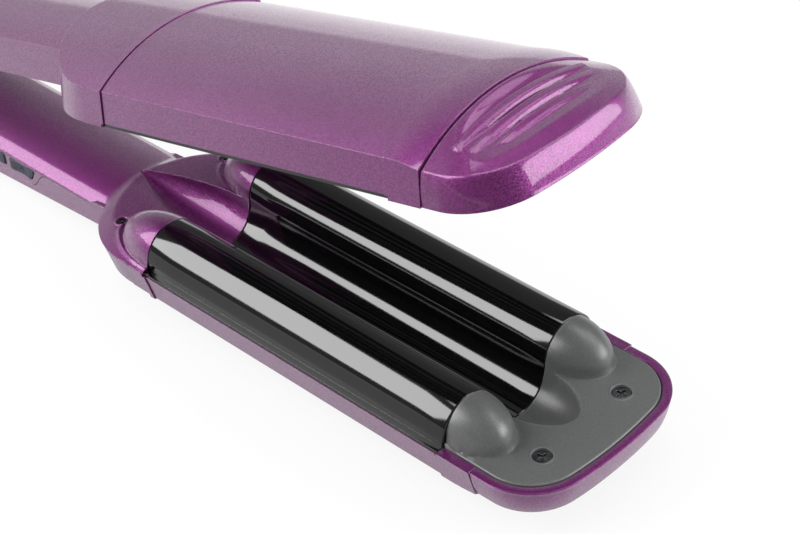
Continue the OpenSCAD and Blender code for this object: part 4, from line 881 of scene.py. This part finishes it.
def screws(name, arm, node, place, face, r):
    """The two screws of an arm at place and at its mirror image, sunk below the face."""
    shape = Shape()
    for side in (-1, 1):
        screw(shape, place[0], side * place[1], face + HEAD_DEPTH, r)
    put(name, shape, arm, arm + "_arm", "steel", [node], sharp=30)


for arm, crests, troughs in (("lower", (-PITCH, PITCH), (0,)), ("upper", (0,), (-PITCH, PITCH))):
    body = arm + "_arm"
    end_cap(arm + "_cap", arm, body, arm + "_end_cap")
    wave_plate(arm + "_plate", arm, body, arm + "_wave_plate", len(crests))
    front_plate(arm + "_dome_plate", arm, body, arm + "_front_plate", crests, troughs)
    screws(arm + "_front_screw_pair", arm, arm + "_front_screws", FRONT_SCREW, FRONT_FACE_Z, FRONT_HEAD_R)

cover_face()
cover_skirt()
for i, (key, sign) in enumerate((("power", "o"), ("minus", "-"), ("plus", "+"))):
    push_button(key + "_key", key + "_button", i, sign)
screws("lower_rear_screw_pair", "lower", "lower_rear_screws", REAR_SCREW, FACE_GAP, REAR_HEAD_R)


# ---------------------------------------------------------------- stage
def make_floor():
    size, below = 6.0, 0.0003
    mesh = bpy.data.meshes.new("floor")
    mesh.from_pydata([(-size, -size, 0), (size, -size, 0), (size, size, 0), (-size, size, 0)], [], [(0, 1, 2, 3)])
    floor = bpy.data.objects.new("floor", mesh)
    floor.location.z = -below
    bpy.context.scene.collection.objects.link(floor)
    m = Mat("floor_white", Roughness=0.9, Specular_IOR_Level=0.1)
    m.set("Base Color", m.mix(m.noise(30, 4), srgb(244, 244, 244), srgb(248, 248, 248)))
    path = m.node("ShaderNodeLightPath")
    # White to the camera. The gloss shows it white behind the part and dim before it: painted shade, standing in for
    # the darker shadowed floor that the walls reflect
    side = m.node("ShaderNodeSeparateXYZ", {0: m.coord}).outputs["Y"]
    dim = m.remap(side, 0.3, 1.0, -0.06, 0.12)
    level = m.math("MAXIMUM", dim, m.remap(path.outputs["Is Glossy Ray"], 1.0, 0.0))
    glow = m.node("ShaderNodeEmission", {"Color": (1, 1, 1, 1), "Strength": level})
    # The rest of each share is the lit floor, which keeps the part's shadow
    seen_share, gloss_share = 0.86, 0.8
    seen = m.math("MAXIMUM", path.outputs["Is Camera Ray"], path.outputs["Is Transmission Ray"])
    gloss = m.math("MULTIPLY", path.outputs["Is Glossy Ray"], gloss_share)
    both = m.math("MAXIMUM", m.math("MULTIPLY", seen, seen_share), gloss)
    mixer = m.node("ShaderNodeMixShader", {0: both, 1: m.bsdf.outputs[0], 2: glow.outputs[0]})
    m.nt.links.new(mixer.outputs[0], m.nt.nodes["Material Output"].inputs["Surface"])
    mesh.materials.append(m.mat)


def make_world():
    """White to the camera and through clear parts. Gloss shows white up to the horizon and a dim room above it."""
    room_gloss, room_light, horizon = 0.16, 0.42, 0.05
    world = bpy.data.worlds.new("studio")
    world.use_nodes = True
    nt = world.node_tree
    back = nt.nodes["Background"]
    back.inputs["Color"].default_value = (1, 1, 1, 1)
    path = nt.nodes.new("ShaderNodeLightPath")
    coord = nt.nodes.new("ShaderNodeTexCoord")
    parts = nt.nodes.new("ShaderNodeSeparateXYZ")
    nt.links.new(coord.outputs["Generated"], parts.inputs[0])
    room = nt.nodes.new("ShaderNodeMapRange")
    for key, value in (("From Min", 0.0), ("From Max", horizon), ("To Min", 1.0), ("To Max", room_gloss)):
        room.inputs[key].default_value = value
    nt.links.new(parts.outputs["Z"], room.inputs["Value"])
    lit = nt.nodes.new("ShaderNodeMix")
    lit.inputs[2].default_value = room_light
    nt.links.new(path.outputs["Is Glossy Ray"], lit.inputs[0])
    nt.links.new(room.outputs[0], lit.inputs[3])
    seen = nt.nodes.new("ShaderNodeMath")
    seen.operation = "MAXIMUM"
    nt.links.new(path.outputs["Is Camera Ray"], seen.inputs[0])
    nt.links.new(path.outputs["Is Transmission Ray"], seen.inputs[1])
    level = nt.nodes.new("ShaderNodeMix")
    level.inputs[3].default_value = 1.0
    nt.links.new(seen.outputs[0], level.inputs[0])
    nt.links.new(lit.outputs[0], level.inputs[2])
    nt.links.new(level.outputs[0], back.inputs["Strength"])
    bpy.context.scene.world = world


def softbox(name, azimuth, elevation, distance, width, height, radiance):
    """A rectangular lamp, sized in metres, that faces the part. Angles are in degrees, azimuth 0 being +X."""
    a, e = math.radians(azimuth), math.radians(elevation)
    away = Vector((math.cos(a) * math.cos(e), math.sin(a) * math.cos(e), math.sin(e)))
    aim = Vector((0.05, 0, 0.04))
    light = bpy.data.lights.new(name, "AREA")
    light.shape = "RECTANGLE"
    light.size, light.size_y, light.energy = width, height, math.pi * width * height * radiance
    obj = bpy.data.objects.new(name, light)
    obj.location = aim + away * distance
    obj.rotation_mode = "QUATERNION"
    obj.rotation_quaternion = (-away).to_track_quat("-Z", "Y")
    bpy.context.scene.collection.objects.link(obj)


def make_camera():
    """The photograph's view, from a fit of the head's and the plates' edges."""
    right = Vector((0.7152133, 0.6954133, -0.069787))
    up = Vector((-0.3918739, 0.4816924, 0.7838413))
    back = Vector((0.5787096, -0.5332661, 0.6170272))
    place = Matrix.Translation((0.4376906, -0.3072427, 0.3937917))
    focal_px, sensor, picture_w = 2128.316, 36.0, 800.0
    data = bpy.data.cameras.new("camera")
    data.sensor_width = sensor
    data.lens = focal_px * sensor / picture_w
    data.clip_start, data.clip_end = 0.01, 20.0
    cam = bpy.data.objects.new("camera", data)
    cam.matrix_world = place @ Matrix((right, up, back)).transposed().to_4x4()
    bpy.context.scene.collection.objects.link(cam)
    bpy.context.scene.camera = cam


make_floor()
make_world()
softbox("left_box", -133, 36, 1.3, 1.0, 1.0, 5.4)
softbox("right_box", 32, 20, 1.2, 0.75, 0.52, 6.5)
softbox("tip_box", 52, 50, 1.2, 0.7, 0.4, 2.6)
softbox("top_box", 120, 80, 1.1, 0.9, 0.6, 3.0)
make_camera()

scene = bpy.context.scene
scene.view_settings.view_transform = "Standard"
